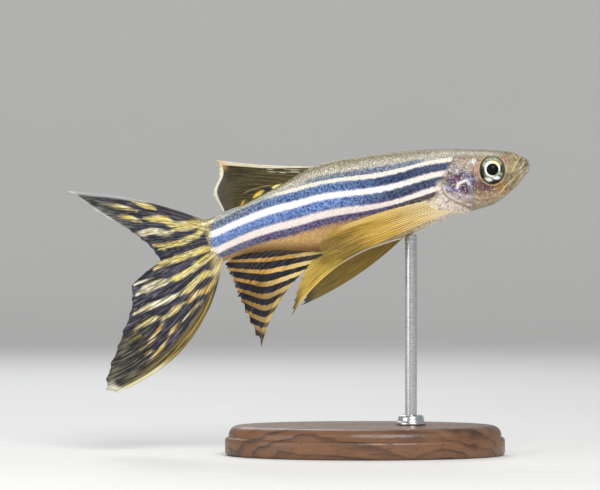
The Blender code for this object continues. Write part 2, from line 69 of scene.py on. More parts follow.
# %% Camera
PHOTO_WIDTH, PIXELS_PER_MM = 600, 10.0
VIEW_MIDDLE = (-6.5, 0.0, 21.0)
LENS, SENSOR = 200.0, 36.0


def add_object(name, data):
    """Puts a camera, a lamp or a mesh into the scene as an object."""
    obj = bpy.data.objects.new(name, data)
    bpy.context.scene.collection.objects.link(obj)
    return obj


distance = PHOTO_WIDTH / PIXELS_PER_MM * LENS / SENSOR
camera = add_object("camera", bpy.data.cameras.new("camera"))
camera.data.lens = LENS
camera.data.sensor_width = SENSOR
camera.data.clip_start, camera.data.clip_end = 0.005, 5.0
camera.location = (VIEW_MIDDLE[0] * MM, (VIEW_MIDDLE[1] - distance) * MM, VIEW_MIDDLE[2] * MM)
camera.rotation_euler = (math.pi / 2, 0, 0)
bpy.context.scene.camera = camera
print("the camera stands", round(distance, 1), "mm in front of the fish")

# %% [markdown]
# ## Body maths
# A fish is a loft: a row of upright sections, each given by the back's point, the belly's
# point, the half width and the level of its widest part. Between them a smooth curve runs
# through the numbers. The same stations shaped the solids, so the skin fits them closely.

# %% Stations of the body
STATIONS = (  # back (x, z), belly (x, z), half width, widest level as a share of the depth
    ((16.02, 29.66), (16.12, 28.10), 0.66, 0.50),  # lips
    ((14.60, 30.28), (15.00, 26.75), 1.24, 0.46),  # nostrils
    ((12.40, 30.50), (13.00, 25.15), 1.72, 0.42),  # eyes
    ((10.40, 30.58), (10.90, 24.44), 2.08, 0.44),  # cheeks
    ((8.20, 30.60), (8.60, 23.72), 2.28, 0.45),  # gills
    ((4.60, 30.46), (5.20, 22.34), 2.42, 0.45),  # shoulders
    ((-0.20, 29.94), (1.00, 20.76), 2.32, 0.47),  # belly
    ((-4.80, 29.02), (-3.20, 20.32), 1.98, 0.47),  # root of the back fin
    ((-8.60, 26.94), (-6.90, 20.42), 1.46, 0.48),  # root of the anal fin
    ((-12.50, 24.84), (-10.90, 20.36), 0.92, 0.49),  # tail stalk
    ((-16.20, 23.45), (-14.70, 19.22), 0.46, 0.50),  # root of the tail fin
)
SNOUT = (16.42, 28.92)
BACK_FULLNESS, BELLY_FULLNESS = 0.84, 0.92
STROKE_FROM, STROKE_AT, STROKE = 8.0, -16.2, 1.2


def smooth_curve(points, places):
    """A smooth curve through evenly numbered rows, read at many places at once."""
    points = np.asarray(points, float)
    points = np.vstack([2 * points[0] - points[1], points, 2 * points[-1] - points[-2]])
    places = np.clip(places, 0, len(points) - 3 - 1e-9)
    first = places.astype(int)
    t = (places - first)[..., None]
    a, b, c, d = (points[first + k] for k in range(4))
    return 0.5 * (2 * b + (c - a) * t + (2 * a - 5 * b + 4 * c - d) * t**2
                  + (3 * b - a - 3 * c + d) * t**3)


def smooth_step(low, high, value):
    share = np.clip((value - low) / (high - low), 0, 1)
    return share * share * (3 - 2 * share)


def bump(distance, width):
    return np.exp(-((distance / width) ** 2))


def stroke(x):
    """How far the swimming stroke carries the body to its left at this x."""
    return STROKE * np.maximum(0.0, (STROKE_FROM - x) / (STROKE_FROM - STROKE_AT)) ** 2


def station(places):
    """Back, belly, half width and widest level, from the snout at 0 to the tail's root at 11."""
    rows = np.array([(*back, *belly, width, level) for back, belly, width, level in STATIONS])
    row = smooth_curve(rows, np.maximum(places, 1) - 1)
    nose = np.minimum(places, 1) * math.pi / 2
    ahead, spread = (1 - np.cos(nose))[..., None], np.sin(nose)[..., None]
    middle = (row[..., 0:2] + row[..., 2:4]) / 2
    centre = np.array(SNOUT) + (middle - np.array(SNOUT)) * ahead
    half = (row[..., 0:2] - row[..., 2:4]) / 2 * spread
    return centre + half, centre - half, row[..., 4] * spread[..., 0], row[..., 5]


def section_points(places, turns):
    """Points of the plain body: turns run from the back, 0, down the left side and round."""
    places, turns = np.broadcast_arrays(places, turns)
    back, belly, width, level = station(places)
    cosine, sine = np.cos(turns), np.sin(turns)
    down = np.where(cosine >= 0, level * (1 - cosine), level - (1 - level) * cosine)
    power = np.where(cosine >= 0, BACK_FULLNESS, BELLY_FULLNESS)
    side = np.sign(sine) * np.abs(sine) ** power * width
    xz = back + (belly - back) * down[..., None]
    return np.stack((xz[..., 0], side + stroke(xz[..., 0]), xz[..., 1]), -1)


print("the body is", round(SNOUT[0] - STATIONS[-1][0][0], 1), "mm from snout to tail root")

# %% [markdown]
# ## Forms of the head
# What makes a fish's head believable is low relief: the line of the mouth with its lips, the
# nostrils, the ring round the eye, the edge of the cheek, and the gill cover, whose hind edge
# stands off the flank like the lid of a pocket. They are drawn as paths in the side view, and
# the skin is raised or sunk by its distance from them, so each one is a few points and a
# height. Pushing a dense grid about is quicker and cleaner than cutting at this scale.

# %% Paths on the head, seen from the side
GILL_EDGE = ((9.2, 31.8), (8.9, 30.0), (8.1, 28.5), (7.6, 27.2), (7.9, 26.0), (8.9, 25.3),
             (10.3, 24.6), (11.3, 23.9), (11.9, 22.8))
CHEEK_EDGE = ((10.6, 28.8), (10.95, 27.8), (10.85, 26.6), (10.7, 25.5), (10.8, 24.4))
MOUTH = ((17.2, 29.55), (16.35, 29.2), (15.6, 28.55), (14.9, 27.95))
UPPER_JAW = ((15.95, 29.95), (15.35, 29.75), (14.93, 29.1), (14.6, 28.3))
CHIN_EDGE = ((16.5, 28.9), (15.85, 28.05), (15.2, 27.15), (14.4, 26.3), (13.4, 25.6))
JAW_FOLD = ((10.9, 25.75), (11.6, 25.65), (12.5, 25.75), (13.3, 26.05), (13.9, 26.45))
THROAT_FOLD = ((10.9, 25.2), (11.8, 25.15), (12.8, 25.45), (13.7, 26.0))
COVER_FOLD = ((8.0, 26.7), (8.9, 26.25), (9.9, 25.85), (10.6, 25.75))
COVER_RIDGE = ((9.1, 26.65), (9.2, 27.05), (9.6, 27.25), (10.05, 27.42), (10.3, 27.05))
COVER_STREAK = ((10.0, 28.1), (10.3, 27.3), (10.38, 26.9), (10.5, 26.45), (10.62, 25.7),
                (10.62, 25.0))
COVER_FOOT = ((7.75, 27.0), (7.9, 26.3), (8.4, 25.85), (9.3, 25.35), (10.5, 24.95))
SNOUT_LINES = (((14.75, 30.1), (15.1, 29.6), (15.05, 28.9), (14.75, 28.3)),
               ((15.3, 30.05), (15.75, 29.6), (15.8, 29.1), (15.45, 28.6)),
               ((14.5, 29.2), (14.55, 28.7), (14.3, 28.2)))
EYE_CENTRE, EYE_SIDE = (12.63, 28.46), 1.32
EYE_RADIUS, EYE_THICKNESS, PUPIL_RADIUS, LENS_RISE = 1.22, 0.80, 0.60, 0.16
EYE_TALL = 1.12  # the eye is a little taller than it is long
NOSTRILS = ((14.32, 29.38), (13.98, 29.40))
COVER_LIFT, SCALE_DEPTH = 0.14, 0.05
FOLDS = (  # path, height of the fold, half width
    (UPPER_JAW, 0.05, 0.10), (CHIN_EDGE, 0.05, 0.16), (JAW_FOLD, 0.05, 0.09),
    (THROAT_FOLD, 0.04, 0.09), (COVER_FOLD, 0.04, 0.10), (COVER_RIDGE, 0.05, 0.13),
    (CHEEK_EDGE, -0.10, 0.13))


def smooth_path(points, steps):
    return smooth_curve(points, np.linspace(0, len(points) - 1, steps + 1))


def distance_to_path(path, x, z):
    """How far points seen from the side lie from a smooth path."""
    path = smooth_path(path, 6 * len(path))
    nearest = np.full(np.shape(x), 1e9)
    for a, b in zip(path[:-1], path[1:]):
        run = b - a
        share = np.clip(((x - a[0]) * run[0] + (z - a[1]) * run[1]) / (run @ run), 0, 1)
        off = np.hypot(x - a[0] - share * run[0], z - a[1] - share * run[1])
        nearest = np.minimum(nearest, off)
    return nearest


def behind_gills(x, z):
    """Distance behind the gill opening's edge, or less than nothing on the head."""
    edge = smooth_path(GILL_EDGE, 40)
    edge_x = np.interp(z, edge[::-1, 1], edge[::-1, 0])
    return np.where(x < edge_x, 1, -1) * distance_to_path(GILL_EDGE, x, z)


def head_relief(x, z, side, behind):
    """How far the skin stands out of the plain body, in millimetres."""
    fade = np.minimum(1.0, side / 0.4)
    mouth = distance_to_path(MOUTH, x, z)
    raised = 0.09 * bump(mouth - 0.17, 0.11) * smooth_step(14.6, 15.2, x)
    for path, height, width in FOLDS:
        raised += height * bump(distance_to_path(path, x, z), width)
    raised += 0.05 * bump(distance_to_path(CHEEK_EDGE, x + 0.25, z), 0.14)
    ring = np.hypot(x - EYE_CENTRE[0], (z - EYE_CENTRE[1]) / EYE_TALL)
    raised += 0.09 * bump(ring - EYE_RADIUS - 0.16, 0.13)
    raised -= 0.04 * bump(ring - EYE_RADIUS - 0.42, 0.09)
    for nostril in NOSTRILS:
        pit = np.hypot(x - nostril[0], z - nostril[1])
        raised += 0.06 * bump(pit - 0.16, 0.06) - 0.22 * bump(pit, 0.10)
    cover = COVER_LIFT * (1 - smooth_step(9.3, 10.9, x))
    cover *= smooth_step(24.6, 25.8, z) * (1 - smooth_step(28.6, 29.6, z))
    raised += cover * smooth_step(0.03, -0.05, behind)
    trough = smooth_step(24.2, 25.2, z) * (1 - smooth_step(29.4, 30.2, z))
    raised -= 0.09 * bump(behind - 0.12, 0.10) * trough
    raised -= SCALE_DEPTH * smooth_step(0.05, 0.6, behind)
    slit = 0.08 * bump(mouth, 0.05) * smooth_step(15.1, 16.0, x)
    return raised * fade - slit


# %% [markdown]
# ## Stripes
# This zebra danio carries four blue stripes on its flank, with three white ones between them.
# Their edges are measured as shares of the body's depth at 14 places along it. Each point of
# the skin is then given a stripe number: 0 to 1 on the olive back, 1 to 2 in the first blue
# stripe, 2 to 3 in the white one under it, and so on down to the belly. The material reads
# that number, so a stripe's edge is as sharp as the render is fine, and the skin and the
# scales over it share the same markings.

# %% Stripe numbers
MARKED_AT = (7.8, 6.4, 4.9, 3.4, 1.4, -1.5, -4.0, -6.5, -8.5, -10.5, -12.0, -13.5, -14.5, -15.3)
STRIPE_EDGES = (
    # back over the first blue stripe
    (.077, .105, .128, .138, .146, .148, .150, .125, .070, .020, .012, .012, .015, .020),
    # first white stripe
    (.132, .152, .182, .200, .214, .208, .206, .180, .100, .030, .020, .022, .035, .050),
    # second blue stripe
    (.191, .194, .214, .244, .259, .245, .241, .226, .153, .089, .067, .068, .100, .128),
    # second white stripe, the broadest
    (.305, .318, .338, .359, .361, .357, .352, .350, .296, .262, .246, .250, .270, .305),
    # third blue stripe
    (.378, .378, .400, .413, .418, .412, .416, .430, .406, .394, .391, .388, .419, .450),
    # third white stripe
    (.505, .505, .527, .549, .541, .530, .543, .580, .578, .598, .606, .622, .650, .690),
    # fourth blue stripe
    (.547, .574, .587, .595, .591, .601, .617, .673, .688, .728, .745, .759, .800, .830),
    # belly
    (.600, .650, .645, .630, .630, .660, .704, .769, .818, .867, .892, .920, .940, .960),
)
BLEND = 0.6  # millimetres over which one measured place runs into the next


def outline_depth(x, z):
    """0 on the line of the back, 1 on the line of the belly."""
    places = np.linspace(0.05, len(STATIONS), 400)
    back, belly, _, _ = station(places)
    top = np.interp(x, back[::-1, 0], back[::-1, 1])
    low = np.interp(x, belly[::-1, 0], belly[::-1, 1])
    return (top - z) / (top - low)


def stripe_number(x, z):
    depth = outline_depth(x, z)
    edges = [np.zeros_like(x)]
    for row in STRIPE_EDGES:
        near = [np.interp(x + off, MARKED_AT[::-1], row[::-1]) for off in (-BLEND, 0, BLEND)]
        edges.append(sum(near) / 3)
    edges.append(np.ones_like(x))
    pairs = zip(edges, edges[1:])
    return sum(np.clip((depth - top) / (low - top), 0, 1) for top, low in pairs)


# %% [markdown]
# ## Skin
# One closed skin covers head and body, so no seam shows where the solids are parted. It is a
# grid of rings, closest on the head. It has its own flat unwrap, along the fish and round it,
# which the scales are laid out on later. Towards the last ring it thins like the flesh of a real
# tail, so that the fin rays rise out of it little by little.

# %% Skin grid
AROUND = 208
NOSE_RINGS, HEAD_RINGS, BODY_RINGS, WEDGE_RINGS = 26, 139, 190, 8
HEAD_END = 4.45  # the place where the close rings of the head stop
WEDGE_LENGTH, WEDGE_PLACES = 0.3, 0.25  # the last thin bit of flesh, in mm and in places
SOCKET_DEPTH = 0.55  # how far the eye's socket is sunk below the eye's middle
THINNED_FROM, THINNED_TO = 10.3, 0.10  # place where the tail's root thins, and what is left
UNWRAP_MARGIN = 0.04
UNWRAP_END = len(STATIONS) + WEDGE_PLACES  # the place that the unwrap's far edge stands for


def grid_normals(points):
    """Normals of a grid that closes round, pointing away from the body."""
    along = np.gradient(points, axis=0)
    wrapped = np.concatenate([points[:, -2:-1], points, points[:, 1:2]], axis=1)
    around = (wrapped[:, 2:] - wrapped[:, :-2]) / 2
    normals = np.cross(around, along)
    return normals / np.maximum(np.linalg.norm(normals, axis=-1, keepdims=True), 1e-9)


def skin_points(places, turns):
    """The body with its relief, its eye sockets and its inset for the scales."""
    plain = section_points(places[:, None], turns[None, :])
    x, z = plain[..., 0], plain[..., 2]
    middle = stroke(x)
    side = np.abs(plain[..., 1] - middle)
    behind = behind_gills(x, z)
    points = plain + grid_normals(plain) * head_relief(x, z, side, behind)[..., None]
    ring = np.hypot(points[..., 0] - EYE_CENTRE[0], (points[..., 2] - EYE_CENTRE[1]) / EYE_TALL)
    floor = EYE_SIDE - SOCKET_DEPTH
    floor = floor + 2.0 * smooth_step(EYE_RADIUS - 0.06, EYE_RADIUS + 0.05, ring)
    off = points[..., 1] - middle
    off = np.sign(off) * np.minimum(np.abs(off), floor)
    thinned = 1 - (1 - THINNED_TO) * smooth_step(THINNED_FROM, len(STATIONS), places)
    points[..., 1] = middle + off * thinned[:, None]
    return points, behind


def add_numbers(mesh, name, values):
    """Stores one number for each point of a mesh under a name that materials can read."""
    layer = mesh.attributes.new(name, "FLOAT", "POINT")
    layer.data.foreach_set("value", np.ascontiguousarray(values, np.float32).ravel())


def add_map(mesh, name, corners):
    """Stores a flat map, one pair of numbers for each corner of each face."""
    layer = mesh.uv_layers.new(name=name)
    layer.data.foreach_set("uv", np.ascontiguousarray(corners, np.float32).ravel())


places = np.concatenate([np.linspace(0.04, 1, NOSE_RINGS),
                         np.linspace(1, HEAD_END, HEAD_RINGS + 1)[1:],
                         np.linspace(HEAD_END, len(STATIONS), BODY_RINGS + 1)[1:]])
turns = np.linspace(0, 2 * math.pi, AROUND + 1)
skin_grid, behind = skin_points(places, turns)

tail_back, tail_belly, _, _ = station(np.array([float(len(STATIONS))]))
upright = (tail_back - tail_belly)[0]
backwards = np.array((-upright[1], upright[0])) / np.linalg.norm(upright)
wedge = []
for step in range(1, WEDGE_RINGS + 1):
    share = step / WEDGE_RINGS
    ring = skin_grid[-1].copy()
    middle = stroke(ring[:, 0])
    ring[:, 1] = middle + (ring[:, 1] - middle) * (1 - 0.5 * share)
    ring[:, 0] += backwards[0] * WEDGE_LENGTH * share
    ring[:, 2] += backwards[1] * WEDGE_LENGTH * share
    wedge.append(ring)
skin_grid = np.concatenate([skin_grid, wedge])
wedge_places = WEDGE_PLACES * np.arange(1, WEDGE_RINGS + 1) / WEDGE_RINGS
places = np.append(places, len(STATIONS) + wedge_places)
behind = np.concatenate([behind, np.repeat(behind[-1:], WEDGE_RINGS, 0)])
print("skin grid", skin_grid.shape[0], "rings of", AROUND, "points")


# %% Skin mesh
def unwrap(place, turn):
    """Where a place on the body lies on its flat unwrap."""
    span = 1 - 2 * UNWRAP_MARGIN
    u = UNWRAP_MARGIN + span * place / UNWRAP_END
    v = UNWRAP_MARGIN + span * turn / (2 * math.pi)
    return np.stack(np.broadcast_arrays(u, v), -1)


def grid_faces(rows, columns, closed=False):
    """Corner numbers of a grid's quads. In a closed one the last column meets the first."""
    row, column = np.meshgrid(np.arange(rows - 1), np.arange(columns - (not closed)),
                              indexing="ij")
    after = (column + 1) % columns
    corners = (row * columns + column, row * columns + after,
               (row + 1) * columns + after, (row + 1) * columns + column)
    return np.stack(corners, -1).reshape(-1, 4)


def new_mesh(name, points, edges, faces):
    """A mesh from points in millimetres."""
    mesh = bpy.data.meshes.new(name)
    mesh.from_pydata(points * MM, edges, faces)
    return mesh


def make_skin():
    rings = len(places)
    points = skin_grid[:, :-1].reshape(-1, 3)
    faces = grid_faces(rings, AROUND, closed=True).tolist()
    flat = unwrap(places[:, None], turns[None, :])
    quads = np.stack((flat[:-1, :-1], flat[:-1, 1:], flat[1:, 1:], flat[1:, :-1]), 2)
    corner_maps = [quads.reshape(-1, 2)]
    tip = len(points)
    for column in range(AROUND):
        faces.append((tip, (column + 1) % AROUND, column))
        middle = unwrap(0.0, (turns[column] + turns[column + 1]) / 2)
        corner_maps.append(np.stack((middle, flat[0, column + 1], flat[0, column])))
    last = (rings - 1) * AROUND
    for column in range(AROUND // 2):
        far = AROUND - column
        ends = (column, column + 1, far - 1, far % AROUND)
        kept = list(dict.fromkeys(ends))
        if len(kept) < 3:
            continue
        faces.append(tuple(last + end for end in kept))
        corner_maps.append(np.stack([flat[-1, end] for end in kept]))
    points = np.vstack([points, (SNOUT[0] - 0.002, stroke(SNOUT[0]), SNOUT[1])])
    mesh = new_mesh("danio_skin", points, [], faces)
    add_map(mesh, "OFBake", np.vstack(corner_maps))
    add_numbers(mesh, "stripe", stripe_number(points[:, 0], points[:, 2]))
    add_numbers(mesh, "behind", np.append(behind[:, :-1].ravel(), behind_gills(*SNOUT)))
    mesh.shade_smooth()
    return add_object("danio_skin", mesh)


skin = make_skin()
print("skin has", len(skin.data.polygons), "faces")

# %% [markdown]
# ## Tools for shaders
# Materials and geometry trees are both chains of small nodes. A wire is what a node puts out.
# A sum written with wires, such as x * 2 + y, places the nodes that work it out, so a pattern
# reads like a formula. Each of the other helpers places one node and hands back its wire. A
# number or a colour given in place of a wire is written straight on the socket.

# %% Node helpers
class Wire:
    """What a node puts out. Each + - * / places the node that does this sum."""

    def __init__(self, socket):
        self.socket, self.tree = socket, socket.id_data

    def __add__(self, other):
        return maths("ADD", self, other)

    def __sub__(self, other):
        return maths("SUBTRACT", self, other)

    def __rsub__(self, other):
        return maths("SUBTRACT", other, self)

    def __mul__(self, other):
        return maths("MULTIPLY", self, other)

    def __truediv__(self, other):
        return maths("DIVIDE", self, other)


def connect(value, socket):
    """Joins a wire to a socket, or writes a colour or any other value on it."""
    if isinstance(value, Wire):
        value.tree.links.new(value.socket, socket)
    else:
        socket.default_value = linear(*value) if socket.type == "RGBA" else value


def add_node(tree, kind, sockets=(), output=0, **settings):
    """Places a node with its settings and what its sockets take, by their names or numbers."""
    node = tree.nodes.new(kind)
    for title, value in settings.items():
        setattr(node, title, value)
    for socket, value in dict(sockets).items():
        connect(value, node.inputs[socket])
    return Wire(node.outputs[output])


def maths(operation, *values, clamp=False):
    tree = next(value.tree for value in values if isinstance(value, Wire))
    return add_node(tree, "ShaderNodeMath", enumerate(values), operation=operation,
                    use_clamp=clamp)


def vector_maths(operation, *values):
    output = "Value" if operation == "LENGTH" else 0
    return add_node(values[0].tree, "ShaderNodeVectorMath", enumerate(values), output,
                    operation=operation)


def fade(value, low, high, start=0.0, end=1.0):
    """A smooth change from start to end as the value goes from low to high."""
    if low > high:
        low, high, start, end = high, low, end, start
    return add_node(value.tree, "ShaderNodeMapRange", enumerate((value, low, high, start, end)),
                    interpolation_type="SMOOTHSTEP")


def blend(share, under, over):
    """The colour over laid on the colour under, by this share."""
    return add_node(share.tree, "ShaderNodeMix", {0: share, 6: under, 7: over}, output=2,
                    data_type="RGBA")


def number(tree, name):
    """A number stored on the mesh under this name."""
    return add_node(tree, "ShaderNodeAttribute", output="Fac", attribute_name=name)


def noise(place, scale, detail=2.0, roughness=0.5):
    return add_node(place.tree, "ShaderNodeTexNoise", {
        "Vector": place, "Scale": scale, "Detail": detail, "Roughness": roughness}, output="Fac")


def joined_up(x, y, z):
    """Three numbers as one place."""
    return add_node(x.tree, "ShaderNodeCombineXYZ", enumerate((x, y, z)))


def parts_of(place):
    """The three numbers of a place."""
    node = place.tree.nodes.new("ShaderNodeSeparateXYZ")
    connect(place, node.inputs[0])
    return [Wire(socket) for socket in node.outputs]


def stretched(place, x, y, z):
    """The place multiplied along each axis, for a pattern that is longer one way."""
    return vector_maths("MULTIPLY", place, (x, y, z))


# %% [markdown]
# ## Effects that many finishes share
# Fish skin is never one flat colour: pigment cells make a fine mosaic, dark cells lie as
# separate dots, and soft patches of colour run into each other. These effects are shader
# groups, built once and placed in each material with its own values. They read the place on
# the object in millimetres, so their grain has a real size.

# %% Shader groups
def new_tree(name, kind, takes, gives):
    """A node tree whose named sockets are given by a plain number, or by a word for their kind.

    Hands back the tree, the wires that it is given, and its results."""
    tree = bpy.data.node_groups.new(name, kind)
    for direction, sockets in (("INPUT", takes), ("OUTPUT", gives)):
        for title, value in sockets.items():
            word = value if isinstance(value, str) else {int: "Int", float: "Float"}[type(value)]
            socket = tree.interface.new_socket(name=title, in_out=direction,
                                               socket_type=f"NodeSocket{word}")
            if word != value:
                socket.default_value = value
    given = {socket.name: Wire(socket) for socket in tree.nodes.new("NodeGroupInput").outputs}
    return tree, given, tree.nodes.new("NodeGroupOutput").inputs


def use_group(tree, group, **values):
    """Places a group in a material and hands back its results by their names."""
    node = tree.nodes.new("ShaderNodeGroup")
    node.node_tree = group
    for title, value in values.items():
        connect(value, node.inputs[title.replace("_", " ")])
    return {socket.name: Wire(socket) for socket in node.outputs}


def millimetre_group():
    tree, _, results = new_tree("place in millimetres", "ShaderNodeTree", {},
                                {"Place": "Vector", "X": 0.0, "Y": 0.0, "Z": 0.0})
    place = add_node(tree, "ShaderNodeTexCoord", output="Object")
    place = stretched(place, 1 / MM, 1 / MM, 1 / MM)
    connect(place, results["Place"])
    for axis, part in zip("XYZ", parts_of(place)):
        connect(part, results[axis])
    return tree


def scattered_cells(place, per_mm):
    """Cells all over a place: how far the middle of each is, and a random number for each."""
    cells = place.tree.nodes.new("ShaderNodeTexVoronoi")
    connect(place, cells.inputs["Vector"])
    connect(per_mm, cells.inputs["Scale"])
    shade = add_node(place.tree, "ShaderNodeSeparateColor", {0: Wire(cells.outputs["Color"])})
    return Wire(cells.outputs["Distance"]), shade


def mosaic_group():
    """A mosaic of cells, each with its own random number, broken up by finer grain."""
    tree, given, results = new_tree("pigment mosaic", "ShaderNodeTree",
                                    {"Place": "Vector", "Cells per mm": 4.0},
                                    {"Mask": 0.0, "Grain": 0.0})
    _, shade = scattered_cells(given["Place"], given["Cells per mm"])
    grain = noise(given["Place"], given["Cells per mm"] * 1.7, 3.0)
    connect(fade(shade * 0.45 + grain * 0.55, 0.25, 0.75), results["Mask"])
    connect(grain, results["Grain"])
    return tree


def dots_group():
    """Separate dark pigment dots, with the share of places that hold one."""
    tree, given, results = new_tree("pigment dots", "ShaderNodeTree",
                                    {"Place": "Vector", "Dots per mm": 6.0, "Share": 0.5},
                                    {"Mask": 0.0})
    distance, shade = scattered_cells(given["Place"], given["Dots per mm"])
    chosen = maths("LESS_THAN", shade, given["Share"])
    connect(chosen * fade(distance, 0.22, 0.42, 1.0, 0.0), results["Mask"])
    return tree


def patch_group():
    """A soft oval patch with an uneven edge."""
    tree, given, results = new_tree("soft patch", "ShaderNodeTree",
                                    {"X": 0.0, "Z": 0.0, "Centre X": 0.0, "Centre Z": 0.0,
                                     "Length": 1.0, "Height": 1.0, "Wobble": 0.5}, {"Mask": 0.0})
    x = (given["X"] - given["Centre X"]) / given["Length"]
    z = (given["Z"] - given["Centre Z"]) / given["Height"]
    off = maths("SQRT", x * x + z * z) + (given["Wobble"] - 0.5)
    connect(fade(off, 0.55, 1.25, 1.0, 0.0), results["Mask"])
    return tree


MILLIMETRES, MOSAIC, DOTS, PATCH = millimetre_group(), mosaic_group(), dots_group(), patch_group()
print("shader groups:", [g.name for g in bpy.data.node_groups])


# %% Starting a material
def new_material(name, roughness, metallic=0.0, coat=0.0, specular=0.5):
    """A named material, its tree, its shader's sockets, and the place on the object."""
    material = bpy.data.materials.new(name)
    material.use_nodes = True
    tree = material.node_tree
    shader = tree.nodes["Principled BSDF"].inputs
    for title, value in (("Roughness", roughness), ("Metallic", metallic), ("Coat Weight", coat),
                         ("Coat Roughness", 0.12), ("Specular IOR Level", specular)):
        shader[title].default_value = value
    return material, tree, shader, use_group(tree, MILLIMETRES)


def bumped(height, depth, strength):
    """A normal from a height: depth is how far 1 stands out, in millimetres."""
    return add_node(height.tree, "ShaderNodeBump", {
        "Strength": strength, "Distance": depth * MM, "Height": height})


def mosaic_at(place, per_mm):
    return use_group(place.tree, MOSAIC, Place=place, Cells_per_mm=per_mm)


def dots_at(place, per_mm, share):
    return use_group(place.tree, DOTS, Place=place, Dots_per_mm=per_mm, Share=share)["Mask"]


def patch(x, z, centre, size, wobble):
    """A soft patch at a place that two numbers give."""
    return use_group(x.tree, PATCH, X=x, Z=z, Centre_X=centre[0], Centre_Z=centre[1],
                     Length=size[0], Height=size[1], Wobble=wobble)["Mask"]


# %% [markdown]
# ## The flesh: stripes, head and belly
# One material paints skin and scales alike. From the stripe number it takes olive, blue,
# silver and gold. The dark stripes are a mosaic of blue cells that turns to navy towards the
# head, and the back has pale flecks like fine netting. The head is laid over it as soft
# patches: gold cheek, pink flesh behind the eye, the plum red of the gills shining through
# their cover, a pale jaw, and dark dots over all of the upper side. Thin pale lines follow the
# jaws and the folds, and a white painted highlight follows the crease on the gill cover. How
# near a point lies to each of them is stored on the mesh as a number, so the lines stay where
# the relief is.

# %% Colours of the head
HEAD_PATCHES = (  # centre (x, z), length and height of each patch, colour, strength
    ((11.0, 30.7), (6.5, 1.0), (132, 121, 94), 0.95),  # crown
    ((11.7, 29.75), (1.9, 0.50), (180, 156, 124), 0.80),  # brow
    ((15.0, 28.9), (1.6, 1.6), (168, 152, 110), 0.90),  # snout
    ((16.0, 29.1), (0.7, 1.0), (150, 146, 120), 0.75),  # lip
    ((9.9, 28.9), (1.4, 0.90), (188, 166, 152), 0.90),  # flesh behind the eye
    ((11.0, 28.3), (0.45, 1.2), (206, 158, 140), 0.85),  # eye's rear edge
    ((10.75, 29.35), (0.36, 0.26), (246, 246, 238), 0.95),  # pale spot behind the eye
    ((10.2, 28.5), (0.26, 0.60), (196, 192, 172), 0.75),  # pale bar
    ((14.0, 28.9), (0.35, 0.85), (216, 202, 168), 0.70),  # snout, pale
    ((13.95, 29.4), (0.6, 0.35), (206, 158, 128), 0.75),  # snout, pink
    ((12.3, 26.9), (1.9, 0.70), (112, 84, 74), 0.92),  # cheek
    ((12.0, 26.95), (1.1, 0.40), (124, 70, 92), 0.60),  # cheek, plum
    ((13.6, 26.7), (1.0, 0.75), (176, 128, 74), 0.85),  # cheek, front
    ((12.1, 25.75), (1.7, 0.50), (176, 148, 122), 0.80),  # lower cheek
    ((14.9, 27.0), (1.0, 1.0), (150, 138, 106), 0.70),  # jaw
    ((10.8, 24.85), (2.4, 0.50), (184, 166, 140), 0.80),  # throat
    ((9.45, 27.1), (1.50, 1.42), (72, 48, 74), 0.97),  # gills
    ((9.95, 26.35), (0.65, 0.80), (88, 40, 52), 0.92),  # gills, red
    ((9.0, 27.3), (0.60, 0.60), (112, 52, 68), 0.60),  # gills, wine
    ((8.95, 26.45), (0.60, 0.36), (112, 84, 158), 0.60),  # gills, violet
    ((8.2, 26.75), (0.40, 0.45), (150, 158, 190), 0.75),  # gills, rear
    ((8.6, 28.45), (1.1, 0.50), (176, 164, 162), 0.80),  # cover top
    ((9.0, 25.75), (1.7, 0.50), (202, 190, 182), 0.85),  # cover foot
    ((10.65, 27.5), (0.42, 0.62), (86, 92, 122), 0.88),  # cheek bar
)
HEAD_LINES = (  # path, half width, colour, strength
    # painted highlight: a white line on the gill cover's crease, where the wet skin catches the
    # light
    (COVER_RIDGE, 0.14, (252, 246, 246), 1.00),
    (COVER_STREAK, 0.24, (150, 154, 172), 0.70),
    (JAW_FOLD, 0.11, (196, 166, 132), 0.62),
    (THROAT_FOLD, 0.10, (194, 172, 138), 0.50),
    (COVER_FOLD, 0.12, (206, 200, 214), 0.70),
    (COVER_FOOT, 0.10, (244, 234, 230), 0.75),
    (UPPER_JAW, 0.07, (222, 206, 140), 0.70),
    (CHIN_EDGE, 0.18, (186, 180, 146), 0.75),
    (SNOUT_LINES[0], 0.05, (232, 216, 146), 0.75),
    (SNOUT_LINES[1], 0.05, (232, 220, 160), 0.75),
    (SNOUT_LINES[2], 0.05, (226, 206, 140), 0.60),
    (MOUTH, 0.05, (84, 76, 52), 0.25),
)
SPECKS = (  # area, shift and scale of the noise, where it starts and is full, colour, strength
    ("gills", 0.0, 3.6, 0.54, 0.62, (122, 96, 160), 0.75),
    ("gills", 7.0, 4.4, 0.56, 0.64, (44, 22, 44), 0.80),
    ("gills", 15.0, 4.0, 0.61, 0.67, (236, 222, 232), 0.70),
    ("cover", 21.0, 5.2, 0.55, 0.63, (70, 66, 88), 0.65),
    ("cover", 29.0, 4.4, 0.59, 0.65, (250, 242, 238), 0.60),
)


def path_numbers(mesh, x, z):
    """Stores how strongly each drawn line of the head shows at each point of the mesh."""
    for index, (path, width, _, _) in enumerate(HEAD_LINES):
        add_numbers(mesh, f"line{index}", bump(distance_to_path(path, x, z), width))


